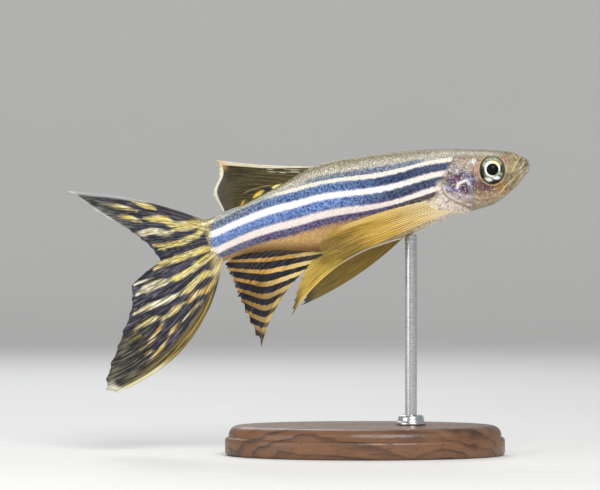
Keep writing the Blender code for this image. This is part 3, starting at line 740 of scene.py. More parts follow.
# %% Colours of the flank
def blue_of(x, mosaic, fine, stripe):
    """The blue stripes' colour: navy near the head, blue at mid body, greyer at the tail."""
    upper = fade(stripe, 4.5, 3.5)
    mid = blend(upper, blend(mosaic, (30, 60, 126), (134, 162, 214)),
                blend(mosaic, (22, 46, 98), (118, 144, 190)))
    front = blend(upper, blend(mosaic, (8, 14, 40), (80, 90, 120)),
                  blend(mosaic, (0, 6, 38), (46, 66, 112)))
    rear = blend(upper, blend(mosaic, (62, 90, 148), (130, 158, 210)),
                 blend(mosaic, (56, 66, 90), (130, 142, 164)))
    blue = blend(fade(x, -3.5, 3.5), mid, front)
    blue = blend(fade(x, -7.5, -13.0), blue, rear)
    green = fade(fine, 0.54, 0.64) * 0.30
    return blend(green, blue, blend(fade(x, 0.0, 4.0), (96, 124, 122), (66, 94, 100)))


def low_blue_of(x, mosaic):
    """The lowest blue stripe: violet, fading to brown at the front and to grey behind."""
    violet = blend(mosaic, (50, 44, 74), (112, 106, 140))
    violet = blend(fade(x, 1.5, 5.0), violet, blend(mosaic, (44, 42, 50), (104, 96, 96)))
    return blend(fade(x, -10.0, -13.5, 0.0, 0.7), violet,
                 blend(mosaic, (78, 82, 100), (122, 124, 138)))


def back_of(tree, stripe, flecks, fine):
    """Olive that pales down the side, with fine light dashes like a net."""
    olive = blend(fine, (92, 84, 60), (140, 130, 100))
    low_back = fade(stripe, 0.15, 0.95)
    olive = blend(low_back * 0.85, olive, blend(fine, (150, 146, 132), (206, 200, 182)))
    strength = fade(stripe, 0.0, 0.9, 0.35, 0.85)
    olive = blend(flecks * strength, olive, (228, 224, 206))
    net = fade(number(tree, "reach"), 0.80, 0.98) * 0.22
    return blend(net, olive, (92, 88, 74))


def belly_of(x, z, mosaic):
    belly = blend(mosaic, (180, 142, 88), (206, 170, 114))
    # painted shade: the belly darkens to brown along its underside, above the anal fin's root
    belly = blend(fade(z, 21.6, 20.6, 0.0, 0.7), belly, (120, 92, 54))
    gold = blend(mosaic, (172, 148, 98), (206, 186, 138))
    belly = blend(fade(x, -3.0, 1.5), belly, gold)
    cream = blend(mosaic, (188, 168, 132), (238, 226, 202))
    return blend(fade(x, 3.5, 7.0), belly, cream)


def flank_colour(tree, here, mosaic, fine):
    place, x, z = here["Place"], here["X"], here["Z"]
    plain = number(tree, "stripe")
    stripe = plain + (mosaic["Grain"] - 0.5) * 0.62
    flecks = fade(noise(stretched(place, 5.5, 5.5, 2.2), 1.5), 0.50, 0.62)
    blue = blue_of(x, mosaic["Mask"], fine["Grain"], plain)
    blue = blend(fade(plain, 5.55, 5.95) * 0.40, blue, (78, 68, 116))
    first_blue = blend(mosaic["Mask"], (66, 76, 104), (138, 144, 150))
    first_blue = blend(fade(x, -4.0, 0.0, 0.0, 0.6), first_blue,
                       blend(mosaic["Mask"], (34, 48, 92), (104, 118, 144)))
    first_blue = blend(flecks * 0.30, first_blue, (206, 204, 192))
    olive = back_of(tree, plain, flecks, fine["Mask"])
    shown = fade(x, 6.6, 4.6) * fade(x, -7.5, -4.5)
    first_blue = blend(fade(shown, 0.0, 1.0, 0.75, 0.0), first_blue, olive)
    whites = (blend(fade(x, -8.0, -10.5, 0.0, 0.8),
                    blend(fine["Mask"], (206, 202, 186), (238, 234, 222)),
                    blend(mosaic["Mask"], (112, 118, 108), (176, 182, 170))),
              blend(fade(x, 1.0, 6.0), blend(fine["Mask"], (226, 226, 230), (244, 244, 242)),
                    blend(fine["Mask"], (214, 206, 198), (238, 230, 220))),
              blend(fine["Mask"], (220, 206, 204), (244, 234, 224)))
    kinds = (first_blue, whites[0], blue, whites[1], blue, whites[2],
             low_blue_of(x, mosaic["Mask"]), belly_of(x, z, mosaic["Mask"]))
    colour = olive
    specks = fade(mosaic["Grain"], 0.56, 0.66) * 0.45
    for edge, kind in enumerate(kinds, start=1):
        if edge in (2, 4, 6):
            kind = blend(specks, kind, (150, 156, 176))
        soft = 0.22 if edge in (1, 8) else 0.14
        colour = blend(fade(stripe, edge - soft, edge + soft), colour, kind)
    shoulder = fade(x, 6.7, 7.5) * fade(z, 27.6, 27.0)
    colour = blend(shoulder * 0.85, colour,
                   blend(mosaic["Mask"], (196, 180, 168), (236, 226, 212)))
    freckles = shoulder * fade(noise(place, 3.0), 0.57, 0.65) * 0.65
    colour = blend(freckles, colour, (112, 92, 106))
    height = z - 22.0
    root = x + mosaic["Grain"] * 0.7 - height * height * 0.12
    rooted = blend(mosaic["Mask"], (96, 86, 68), (186, 170, 134))
    for edge in (2, 4, 6):
        light = fade(stripe, edge - 0.15, edge + 0.2) * fade(stripe, edge + 1.15, edge + 0.8)
        rooted = blend(light, rooted, blend(mosaic["Mask"], (204, 186, 134), (244, 234, 198)))
    return blend(fade(root, -14.95, -15.3), colour, rooted)


# %% Flesh material
HEAD_SHADE = (0.80, 0.80, 0.80)  # the share of light that the head's skin gives back


def eye_line(ring):
    """A thin line round the eye."""
    far = maths("ABSOLUTE", ring - (EYE_RADIUS + 0.15))
    return fade(far, 0.07, 0.02)


def head_colour(tree, here, mosaic, fine):
    place, x, z = here["Place"], here["X"], here["Z"]
    head = blend(fine["Mask"], (142, 124, 94), (184, 166, 132))
    for centre, size, shade, strength in HEAD_PATCHES:
        head = blend(patch(x, z, centre, size, mosaic["Grain"]) * strength, head, shade)
    low = mosaic_at(place, 3.4)["Mask"]
    head = blend(fade(low, 0.10, 0.50, 0.34, 0.0), head, (62, 44, 46))
    pearl = noise(place, 4.5)
    head = blend(fade(pearl, 0.56, 0.66, 0.0, 0.50), head, (236, 224, 206))
    area = {"gills": patch(x, z, (9.3, 27.25), (1.7, 1.6), mosaic["Grain"]),
            "cover": patch(x, z, (9.0, 28.3), (2.1, 1.7), mosaic["Grain"])}
    for name, offset, scale, first, last, shade, strength in SPECKS:
        shifted = vector_maths("ADD", place, (offset, offset, offset))
        specks = fade(noise(shifted, scale), first, last)
        head = blend(specks * area[name] * strength, head, shade)
    for per_mm, strength in ((4.6, 0.62), (8.0, 0.55)):
        dots = dots_at(place, per_mm, fade(z, 26.5, 30.0, 0.05, 0.58))
        head = blend(dots * strength, head, (62, 52, 42))
    head = stretched(head, *HEAD_SHADE)
    aside = fade(maths("ABSOLUTE", here["Y"]), 0.25, 0.75)
    for index, (_, _, shade, strength) in enumerate(HEAD_LINES):
        broken = fade(mosaic["Grain"], 0.36, 0.50, 0.45, 1.0)
        if index:
            broken = broken * fade(pearl, 0.40, 0.56, 0.25, 1.0)
        mask = number(tree, f"line{index}") * strength * broken * aside
        head = blend(mask, head, shade)
    across, tall = x - EYE_CENTRE[0], (z - EYE_CENTRE[1]) / EYE_TALL
    ring = vector_maths("LENGTH", joined_up(across, 0.0, tall))
    below = fade(across + tall, 0.9, 0.1, 0.10, 0.55)
    # painted shade: the skin darkens to olive on the slope down into the eye's socket
    socket = fade(ring, EYE_RADIUS + 0.16, EYE_RADIUS + 0.04)
    head = blend(socket * 0.7, head, (96, 88, 60))
    return blend(eye_line(ring) * below, head, (186, 170, 118))


def flesh_material():
    material, tree, shader, here = new_material("danio_flesh", 0.42, coat=0.05, specular=0.20)
    mosaic, fine = mosaic_at(here["Place"], 7.5), mosaic_at(here["Place"], 11.0)
    flank = flank_colour(tree, here, mosaic, fine)
    head = head_colour(tree, here, mosaic, fine)
    on_head = fade(number(tree, "behind") + mosaic["Grain"] * 0.5, 0.50, 0.10)
    crown = fade(number(tree, "stripe"), 2.1, 1.2) * fade(here["X"], 14.6, 12.5)
    on_head = on_head * (1.0 - crown * 0.85)
    connect(blend(on_head, flank, head), shader["Base Color"])
    connect(fade(fine["Grain"], 0.3, 0.7, 0.34, 0.50), shader["Roughness"])
    connect(bumped(fine["Grain"], 0.015, 0.5), shader["Normal"])
    return material


flesh = flesh_material()
skin_xz = np.array([(v.co.x / MM, v.co.z / MM) for v in skin.data.vertices])
path_numbers(skin.data, skin_xz[:, 0], skin_xz[:, 1])
skin.data.materials.append(flesh)
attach(skin, "root")
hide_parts("head", "gill_cover_right", "gill_cover_left", "trunk", "tail_section",
            "tail_stalk")
print("flesh has", len(flesh.node_tree.nodes), "nodes")

# %% [markdown]
# ## Fins
# A fin is a thin film held open by bony rays, which are jointed like bamboo and fork twice on
# their way to the edge. The film is a grid over two numbers, across the fin from its first ray
# to its last and along it from root to tip, with the same roots, tips and sway as the solids.
# The rays are only lines here: a geometry tree sweeps a round section along each, thinner
# towards the tip and a little thicker at every other joint. Modelled rays catch the light at
# the edge of the fin, which a painted line never does.

# %% Where each fin stands
def dorsal_sway(u, v):
    return 0.35 * v * np.sin(2.6 * math.pi * u) + 0.25 * v * v


def anal_sway(u, v):
    return 0.55 * v * np.sin(3.0 * math.pi * u) - 0.5 * v * v * (1 - u)


def tail_upper_sway(u, v):
    return 0.5 * v * np.sin(2.2 * math.pi * u + 0.5) + 0.8 * v * v


def tail_lower_sway(u, v):
    return 0.5 * v * np.sin(2.0 * math.pi * u + 1.9) + 0.8 * v * v


def pectoral_sway(side):
    def sway(u, v):
        spread = 1 - (1 - v) ** 2
        return side * (1.35 + 2.25 * spread - 0.5 * u * v + 0.15 * v * np.sin(9 * u))
    return sway


def pelvic_sway(side):
    def sway(u, v):
        return side * (0.75 + 2.1 * v - 0.9 * u * v)
    return sway


PECTORAL = dict(roots=((8.3, 25.7), (8.4, 24.95), (8.3, 24.2)), rays=14, bow=(-0.35, -0.20),
                tips=((-3.2, 22.5), (-4.6, 21.2), (-4.4, 20.1), (-2.4, 19.4)))
PELVIC_ROOTS = ((2.9, 21.5), (2.2, 21.9), (1.4, 22.2))
FINS = {
    "dorsal_fin": dict(
        roots=((-4.2, 28.8), (-7.6, 27.1), (-11.2, 25.2)), rays=11, bow=(0.22, -0.25, -0.40, -0.10),
        tips=((-14.9, 29.5), (-14.65, 28.0), (-15.2, 26.2), (-14.25, 24.3)),
        sway=dorsal_sway, dip=0.012, slot="clear_fin"),
    "anal_fin": dict(
        roots=((-2.9, 20.9), (-7.8, 20.9), (-12.2, 20.8)), rays=13, bow=(-1.30, 0.05),
        tips=((-10.4, 10.8), (-12.4, 15.2), (-13.2, 17.1), (-14.0, 19.1)),
        sway=anal_sway, dip=0.030, slot="striped_fin"),
    "tail_fin_upper": dict(
        roots=((-15.75, 23.3), (-15.35, 22.35), (-15.0, 21.36)), rays=10, bow=(-0.62, 0.0),
        tips=((-29.95, 26.42), (-26.9, 24.3), (-24.0, 22.6), (-21.8, 21.0), (-20.6, 19.40)),
        sway=tail_upper_sway, dip=0.016, slot="striped_fin"),
    "tail_fin_lower": dict(
        roots=((-15.0, 21.30), (-14.7, 20.3), (-14.3, 19.35)), rays=11,
        bow=(0.0, 0.3, 0.8, 1.5, 2.45),
        tips=((-20.6, 19.34), (-22.0, 18.3), (-23.5, 16.9), (-23.5, 15.5), (-23.8, 14.0),
              (-24.3, 12.4), (-24.9, 10.8), (-25.6, 9.1), (-26.2, 7.4), (-26.0, 6.4),
              (-25.0, 6.1)),
        sway=tail_lower_sway, dip=0.014, slot="striped_fin"),
    "pectoral_fin_right": dict(PECTORAL, sway=pectoral_sway(-1), dip=0.02, slot="clear_fin"),
    "pectoral_fin_left": dict(PECTORAL, sway=pectoral_sway(1), dip=0.02, slot="clear_fin"),
    "pelvic_fin_right": dict(
        roots=PELVIC_ROOTS, rays=9, bow=(-1.25, -0.55, -0.10),
        tips=((-7.35, 14.0), (-7.0, 15.9), (-6.4, 17.8), (-5.4, 19.4)),
        sway=pelvic_sway(-1), dip=0.03, slot="clear_fin"),
    "pelvic_fin_left": dict(
        roots=((3.6, 21.6), (2.6, 21.9), (1.6, 22.2)), rays=9, bow=(0.55, 0.0),
        tips=((-6.3, 14.95), (-5.9, 16.2), (-5.4, 17.6), (-4.9, 18.9)),
        sway=pelvic_sway(1), dip=0.02, slot="clear_fin"),
}
ROOT_SUNK = -0.05  # how far along the rays the fin starts inside the flesh


def fin_points(fin, u, v):
    """Points of a fin's middle surface, for numbers across and along it."""
    u, v = np.broadcast_arrays(u, v)
    root = smooth_curve(fin["roots"], u * (len(fin["roots"]) - 1))
    tip = smooth_curve(fin["tips"], u * (len(fin["tips"]) - 1))
    run = tip - root
    across = np.stack((-run[..., 1], run[..., 0]), -1)
    across /= np.linalg.norm(run, axis=-1, keepdims=True)
    bow = smooth_curve(np.array(fin["bow"])[:, None], u * (len(fin["bow"]) - 1))
    control = (root + tip) / 2 + 2 * across * bow
    t = v[..., None]
    xz = (1 - t) ** 2 * root + 2 * t * (1 - t) * control + t * t * tip
    y = fin["sway"](u, v) + stroke(xz[..., 0])
    return np.stack((xz[..., 0], y, xz[..., 1]), -1)


print(len(FINS), "fins with", sum(fin["rays"] for fin in FINS.values()), "rays")

# %% Film and rays as one mesh
FILM_ROOT, FILM_TIP = 0.030, 0.012  # half the thickness of the film
RAY_ROOT, RAY_TIP = 0.060, 0.020  # radius of a ray
JOINT = 0.17  # length of one joint of a ray
FILM_COLUMNS, FILM_ROWS = 6, 46  # of the film's grid: columns from ray to ray, and rows
TRACK_STEPS = 240  # points along a ray from which its joints are measured out
GOLD_BANDS_AT = (20.6, 19.5, 18.22, 16.92, 15.58, 14.38, 13.08, 11.9, 10.7)  # heights


def fin_margin(fin, u, ragged):
    """How far along the fin its edge lies: a dip between rays and a nick between branches."""
    place = u * (fin["rays"] - 1)
    dip = fin["dip"] * np.sin(math.pi * place) ** 2 + 0.007 * np.sin(4 * math.pi * place) ** 2
    return 1 - dip + np.interp(place, np.arange(fin["rays"]), ragged)


def fin_film(fin, ragged):
    """The film as a closed slab: points, faces, and the numbers across and along it."""
    columns, rows = FILM_COLUMNS * (fin["rays"] - 1) + 1, FILM_ROWS
    u = np.linspace(0, 1, columns)[:, None]
    v = np.linspace(0, 1, rows)[None, :]
    v = ROOT_SUNK + (fin_margin(fin, u, ragged) - ROOT_SUNK) * v
    middle = fin_points(fin, u, v)
    normals = np.cross(np.gradient(middle, axis=1), np.gradient(middle, axis=0))
    normals /= np.maximum(np.linalg.norm(normals, axis=-1, keepdims=True), 1e-9)
    half = (FILM_ROOT + (FILM_TIP - FILM_ROOT) * np.clip(v, 0, 1))[..., None]
    points = np.concatenate([(middle + normals * half).reshape(-1, 3),
                             (middle - normals * half).reshape(-1, 3)])
    quads = grid_faces(columns, rows)
    other = len(points) // 2
    faces = [*quads, *(quads[:, ::-1] + other)]
    rim = [i * rows for i in range(columns)]
    rim += [(columns - 1) * rows + j for j in range(1, rows)]
    rim += [i * rows + rows - 1 for i in range(columns - 2, -1, -1)]
    rim += list(range(rows - 2, 0, -1))
    for here, after in zip(rim, rim[1:] + rim[:1]):
        faces.append((here, after, after + other, here + other))
    numbers = [np.tile(np.broadcast_to(n, v.shape).ravel(), 2) for n in (u, v)]
    return points, faces, numbers


def ray_lines(fin, ragged, draw):
    """Each ray's stem, branches and twigs: lists of numbers across, along, and girth."""
    spacing = 1 / (fin["rays"] - 1)
    lines = []
    for ray in range(fin["rays"]):
        first, second = draw.uniform(0.34, 0.48), draw.uniform(0.64, 0.76)
        plain = ray == 0
        ends = ((0, 0, ROOT_SUNK, 1.0 if plain else first),)
        if not plain:
            ends += tuple((b, 0, first, second) for b in (-1, 1))
            ends += tuple((b, t, second, 1.0) for b in (-1, 1) for t in (-1, 1))
        for branch, twig, start, end in ends:
            v = np.linspace(start, end, TRACK_STEPS)
            u = ray * spacing + branch * 0.23 * spacing * smooth_step(first, first + 0.3, v)
            u = np.clip(u + twig * 0.115 * spacing * smooth_step(second, second + 0.2, v), 0, 1)
            v = np.minimum(v, fin_margin(fin, u, ragged) + 0.006)
            level = abs(branch) + abs(twig)
            girth = RAY_ROOT + (RAY_TIP - RAY_ROOT) * np.clip(v, 0, 1) ** 0.7
            girth *= (1.5 if plain else 1.0) * (1.0, 0.78, 0.62)[level]
            lines.append((u, v, girth))
    return lines


def fin_mesh(name, fin, draw):
    ragged = draw.normal(0, 0.006, fin["rays"])
    points, faces, (across, along) = fin_film(fin, ragged)
    points, edges = [points], []
    numbers = {"across": [across], "along": [along], "ray": [0 * along], "girth": [0 * along]}
    count = len(points[0])
    for u, v, girth in ray_lines(fin, ragged, draw):
        track = fin_points(fin, u, v)
        steps = np.linalg.norm(np.diff(track, axis=0), axis=1)
        length = np.append(0, np.cumsum(steps))
        joints = max(int(length[-1] / JOINT), 2)
        at = np.linspace(0, length[-1], joints + 1)
        points.append(np.stack([np.interp(at, length, axis) for axis in track.T], -1))
        swell = np.where(np.arange(joints + 1) % 2, 1.10, 0.86)
        numbers["across"].append(np.interp(at, length, u))
        numbers["along"].append(np.interp(at, length, v))
        numbers["girth"].append(np.interp(at, length, girth) * swell * MM)
        numbers["ray"].append(np.ones(joints + 1))
        edges += [(count + k, count + k + 1) for k in range(joints)]
        count += joints + 1
    points = np.vstack(points)
    x, z = points[:, 0], points[:, 2]
    if name in TAIL_STREAKS:
        band, tone = streak_numbers(TAIL_STREAKS[name], x, z)
    else:
        band = anal_band(x, z)
        tone = 0 * band
    mesh = new_mesh(name, points, edges, faces)
    for title, values in numbers.items():
        add_numbers(mesh, title, np.concatenate(values))
    add_numbers(mesh, "band", band)
    add_numbers(mesh, "tone", tone)
    return mesh


def anal_band(x, z):
    """Counts the gold bands of the anal fin downwards. They sag in the middle, each a bit more."""
    level, count = -np.array(GOLD_BANDS_AT), np.arange(len(GOLD_BANDS_AT))
    middle = x + 9.9
    ahead, astern = ((sign * middle + np.sqrt(middle**2 + 0.3)) / 2 for sign in (1, -1))
    band = np.interp(-z, level, count)
    for _ in range(12):
        rise = (0.10 + 0.03 * band + 0.02 * band**2) * ahead + (0.12 * band - 0.15) * astern
        band = np.interp(rise - z, level, count)
    return band


# %% [markdown]
# ## Pale streaks of the tail
# The bands of the anal fin repeat, so one number that counts them downwards is enough. The
# pale streaks of the tail don't: each starts, swells and stops at its own place. They are drawn
# as paths with a half width and a tone, gold, yellow or cream, and every point of the fin
# stores how deep it lies inside the nearest one. The material turns that depth into colour and
# roughens its edge.

# %% Streaks of the tail
GOLD, YELLOW, CREAM = 0.0, 0.5, 1.0
TAIL_STREAKS = {  # tone, half width, and the line that each pale streak follows
    "tail_fin_upper": (
        (YELLOW, 0.25, ((-21.1, 24.6), (-22.3, 25.1), (-23.4, 25.4))),
        (YELLOW, 0.15, ((-23.0, 24.4), (-24.5, 24.8), (-25.6, 25.0), (-26.5, 25.1))),
        (YELLOW, 0.28, ((-16.6, 23.4), (-18.0, 23.1), (-19.2, 23.0), (-20.1, 23.5),
                        (-21.1, 23.6), (-22.2, 23.7))),
        (YELLOW, 0.22, ((-22.5, 23.4), (-24.1, 23.8), (-24.9, 23.8), (-25.7, 23.6))),
        (YELLOW, 0.33, ((-15.9, 23.0), (-17.1, 23.0), (-18.2, 22.8), (-19.2, 22.5))),
        (CREAM, 0.27, ((-19.2, 22.4), (-20.1, 22.2), (-21.3, 22.4), (-22.3, 22.2), (-23.4, 22.1))),
        (YELLOW, 0.24, ((-15.3, 22.5), (-16.2, 22.6), (-16.8, 22.0), (-17.6, 21.6),
                        (-18.6, 21.2), (-20.1, 21.0), (-21.2, 21.0))),
        (YELLOW, 0.14, ((-19.6, 20.8), (-20.7, 20.6)))),
    "tail_fin_lower": (
        (YELLOW, 0.28, ((-15.0, 21.0), (-16.1, 20.6), (-16.4, 20.5), (-18.1, 19.9),
                        (-19.5, 19.4), (-20.3, 19.2), (-21.2, 18.5))),
        (YELLOW, 0.28, ((-14.9, 20.2), (-15.8, 19.7), (-16.7, 19.1), (-17.6, 18.4),
                        (-18.6, 17.8), (-19.6, 17.4))),
        (CREAM, 0.38, ((-19.3, 17.5), (-21.1, 17.0), (-22.1, 16.5), (-22.9, 16.0))),
        (CREAM, 0.08, ((-21.3, 17.8), (-22.3, 17.4), (-23.2, 17.0))),
        (YELLOW, 0.26, ((-14.7, 18.9), (-15.2, 18.3), (-15.9, 18.1), (-16.9, 17.4),
                        (-17.7, 16.6), (-18.5, 16.0))),
        (CREAM, 0.22, ((-18.5, 16.1), (-19.6, 15.6), (-20.6, 15.2), (-21.6, 14.8), (-22.6, 14.4),
                       (-23.2, 14.1))),
        (GOLD, 0.22, ((-14.9, 17.7), (-15.2, 17.2), (-15.9, 16.5), (-16.9, 16.1), (-17.6, 15.4),
                      (-18.2, 15.1))),
        (YELLOW, 0.22, ((-18.1, 15.2), (-18.9, 14.6), (-19.5, 14.1), (-20.1, 13.6))),
        (YELLOW, 0.2, ((-20.1, 13.7), (-20.9, 13.7), (-21.9, 13.2), (-22.8, 12.7), (-23.1, 12.4))),
        (GOLD, 0.13, ((-20.2, 13.4), (-20.9, 12.2), (-21.5, 11.3), (-22.3, 10.7), (-22.6, 10.5))),
        (YELLOW, 0.14, ((-22.5, 11.9), (-23.1, 11.6), (-23.7, 11.1))),
        (GOLD, 0.1, ((-16.4, 15.3), (-17.1, 14.7), (-17.8, 13.9), (-18.4, 13.2))),
        (GOLD, 0.27, ((-18.6, 13.1), (-19.2, 12.5), (-19.7, 11.9))),
        (GOLD, 0.16, ((-21.3, 10.4), (-22.3, 9.9))),
        (GOLD, 0.1, ((-19.7, 11.7), (-20.3, 10.8), (-21.1, 9.8), (-22.1, 8.9))))}


def streak_numbers(streaks, x, z):
    """How deep inside the nearest streak each point lies, in millimetres, and its tone."""
    depth, tone = np.full(len(x), -9.0), np.zeros(len(x))
    for shade, width, path in streaks:
        from_end = np.minimum(*(np.hypot(x - end[0], z - end[1]) for end in (path[0], path[-1])))
        here = width * (0.2 + 0.8 * smooth_step(0.0, 1.4, from_end))
        here = here - distance_to_path(path, x, z)
        tone = np.where(here > depth, shade, tone)
        depth = np.maximum(here, depth)
    return depth, tone


print("streaks on the tail:", [len(streaks) for streaks in TAIL_STREAKS.values()])

# %% Geometry tree that sweeps the rays
def stored(tree, name, kind="FLOAT"):
    """A value stored on the mesh under this name, for a geometry tree."""
    return add_node(tree, "GeometryNodeInputNamedAttribute", {"Name": name}, data_type=kind)


def ray_tree():
    tree, given, results = new_tree(
        "fin rays", "GeometryNodeTree",
        {"Geometry": "Geometry", "Girth": 1.0, "Sides": 6, "Finish": "Material"},
        {"Geometry": "Geometry"})
    fin = given["Geometry"]
    faces = add_node(tree, "GeometryNodeInputMeshEdgeNeighbors")
    is_line = add_node(tree, "FunctionNodeCompare", {2: faces, 3: 0}, data_type="INT",
                       operation="EQUAL")
    film = add_node(tree, "GeometryNodeDeleteGeometry", {"Geometry": fin, "Selection": is_line},
                    domain="EDGE")
    lines = add_node(tree, "GeometryNodeMeshToCurve", {"Mesh": fin, "Selection": is_line})
    girth = stored(tree, "girth") * given["Girth"]
    circle = add_node(tree, "GeometryNodeCurvePrimitiveCircle",
                      {"Resolution": given["Sides"], "Radius": 1.0}, mode="RADIUS")
    tubes = add_node(tree, "GeometryNodeCurveToMesh", {
        "Curve": lines, "Profile Curve": circle, "Scale": girth, "Fill Caps": True})
    joined = tree.nodes.new("GeometryNodeJoinGeometry")
    for part in (film, tubes):
        connect(part, joined.inputs[0])
    real = add_node(tree, "GeometryNodeRealizeInstances", {0: Wire(joined.outputs[0])})
    painted = add_node(tree, "GeometryNodeSetMaterial",
                       {"Geometry": real, "Material": given["Finish"]})
    connect(painted, results["Geometry"])
    return tree


def apply_tree(obj, tree, **values):
    """Runs a geometry tree on an object and keeps the result as its plain mesh."""
    modifier = obj.modifiers.new(tree.name, "NODES")
    modifier.node_group = tree
    sockets = {item.name: item.identifier for item in tree.interface.items_tree
               if item.in_out == "INPUT"}
    for title, value in values.items():
        modifier[sockets[title.replace("_", " ")]] = value
    graph = bpy.context.evaluated_depsgraph_get()
    mesh = bpy.data.meshes.new_from_object(obj.evaluated_get(graph), depsgraph=graph)
    obj.modifiers.clear()
    obj.data = mesh
    mesh.name = obj.name
    return mesh


# %% [markdown]
# ## Fin finishes
# The film is clear with pigment in it, so each fin's material mixes film and ray colours and
# lets a little light through the film. The back fin is dark olive with a cream front edge, the
# breast and belly fins are gold with pale rays, the anal fin has gold bands on blue-black that
# run level with the body, and the tail is blue-black with pale streaks that follow its rays.

# %% Fin materials
BACK_FIN_SPOTS = (  # centre across and along, size both ways, colour
    ((0.60, 0.085), (0.065, 0.045), (246, 232, 150)),
    ((0.675, 0.14), (0.045, 0.075), (22, 24, 34)),
    ((0.80, 0.185), (0.085, 0.060), (232, 200, 84)),
    ((0.90, 0.265), (0.055, 0.070), (28, 26, 28)),
    ((0.96, 0.385), (0.060, 0.035), (206, 170, 74)),
    ((0.135, 0.455), (0.014, 0.040), (206, 202, 180)),
    ((0.235, 0.40), (0.012, 0.055), (214, 210, 190)),
    ((0.235, 0.28), (0.011, 0.045), (224, 220, 200)),
    ((0.16, 0.19), (0.014, 0.060), (206, 200, 176)),
)


def fin_numbers(tree):
    """What every fin's pattern reads: across, along, ray, and streaks along the rays."""
    across, along = number(tree, "across"), number(tree, "along")
    streak = noise(joined_up(across * 42.0, along * 3.5, 0.0), 1.0, 3.0, 0.6)
    return across, along, number(tree, "ray"), streak


def dorsal_pattern(tree, here):
    across, along, ray, streak = fin_numbers(tree)
    film = blend(fade(streak, 0.40, 0.66), (34, 28, 11), (76, 65, 26))
    film = blend(fade(along, 0.35, 0.0, 0.0, 0.4), film, (96, 84, 42))
    film = blend(fade(across, 0.35, 0.7) * fade(along, 0.5, 0.8) * 0.5, film, (92, 88, 70))
    colour = blend(ray * 0.55, film, (122, 108, 56))
    near_front = ray * fade(across, 0.30, 0.10) * fade(along, 0.6, 0.2) * fade(streak, 0.45, 0.60)
    colour = blend(near_front * 0.8, colour, (224, 220, 196))
    thread = fade(maths("ABSOLUTE", across - 0.476 - along * 0.64), 0.012, 0.004)
    thread = thread * fade(along, 0.14, 0.20) * fade(along, 0.50, 0.44) * 0.65
    colour = blend(thread, colour, (186, 184, 138))
    wobble = streak * 1.2 - 0.1
    for centre, size, shade in BACK_FIN_SPOTS:
        colour = blend(patch(across, along, centre, size, wobble) * 0.92, colour, shade)
    rear = fade(across, 0.75, 1.0) * fade(streak, 0.4, 0.6)
    colour = blend(rear * fade(along, 0.6, 0.3) * 0.5, colour, (150, 128, 60))
    slate = fade(along, 0.84, 0.92) * fade(across, 0.2, 0.45) * 0.7
    colour = blend(slate, colour, blend(fade(streak, 0.45, 0.6), (52, 58, 66), (98, 94, 96)))
    edge = fade(along + across * 0.02, 0.945, 0.962)
    colour = blend(edge * 0.92, colour, (228, 222, 200))
    width = fade(along, 0.15, 0.55, 0.035, 0.105)
    front = fade(across / width, 1.0, 0.7)
    colour = blend(front, colour, blend(fade(streak, 0.35, 0.6), (206, 196, 160), (248, 240, 210)))
    colour = blend(fade(across, 0.30, 0.10) * fade(along, 0.87, 0.95) * 0.5, colour,
                   (228, 184, 126))
    clear = fade(streak, 0.35, 0.7, 0.98, 0.93) + ray * 0.1
    return colour, maths("MAXIMUM", clear, front * 0.97, clamp=True)


def anal_pattern(tree, here):
    across, along, ray, streak = fin_numbers(tree)
    band = number(tree, "band") + (streak - 0.5) * 0.28
    wave = maths("COSINE", band * (2 * math.pi))
    narrowing = fade(across, 0.0, 0.4, -0.15, 0.24)
    gold_share = fade(wave - narrowing, 0.05, 0.45)
    gold = blend(fade(streak, 0.4, 0.65), (150, 112, 48), (228, 180, 92))
    gold = blend(fade(across, 0.40, 0.80, 0.0, 0.5), gold, (122, 92, 42))
    gold = blend(fade(across, 0.30, 0.05, 0.0, 0.8), gold, (234, 210, 142))
    gold = blend(fade(here["Z"], 18.2, 15.6, 0.0, 0.75), gold, (112, 82, 34))
    black = blend(fade(streak, 0.5, 0.75), (15, 13, 20), (56, 56, 84))
    soft = fade(along, 0.28, 0.02) * fade(across, 0.75, 0.45)
    black = blend(soft * 0.7, black, (98, 84, 58))
    gold = blend(soft * 0.6, gold, (222, 200, 138))
    colour = blend(gold_share, black, gold)
    colour = blend(ray * 0.10, colour, (230, 214, 170))
    front = fade(across, 0.050, 0.015) * fade(along, 0.40, 0.55) * fade(wave, -0.8, 0.0, 0.25, 1.0)
    edge = blend(fade(streak, 0.4, 0.6), (196, 160, 84), (232, 206, 132))
    colour = blend(front * 0.6, colour, edge)
    tip = fade(along, 0.955, 0.985) * fade(across, 0.2, 0.05)
    colour = blend(tip, colour, (48, 40, 30))
    colour = blend(fade(here["Z"], 13.0, 11.8) * 0.8, colour, (52, 42, 30))
    rear = fade(along, 0.90, 0.97) * fade(across, 0.3, 0.5) * fade(streak, 0.5, 0.6)
    colour = blend(rear * 0.7, colour, (206, 200, 190))
    return colour, fade(wave, -0.5, 0.5, 0.97, 0.92)


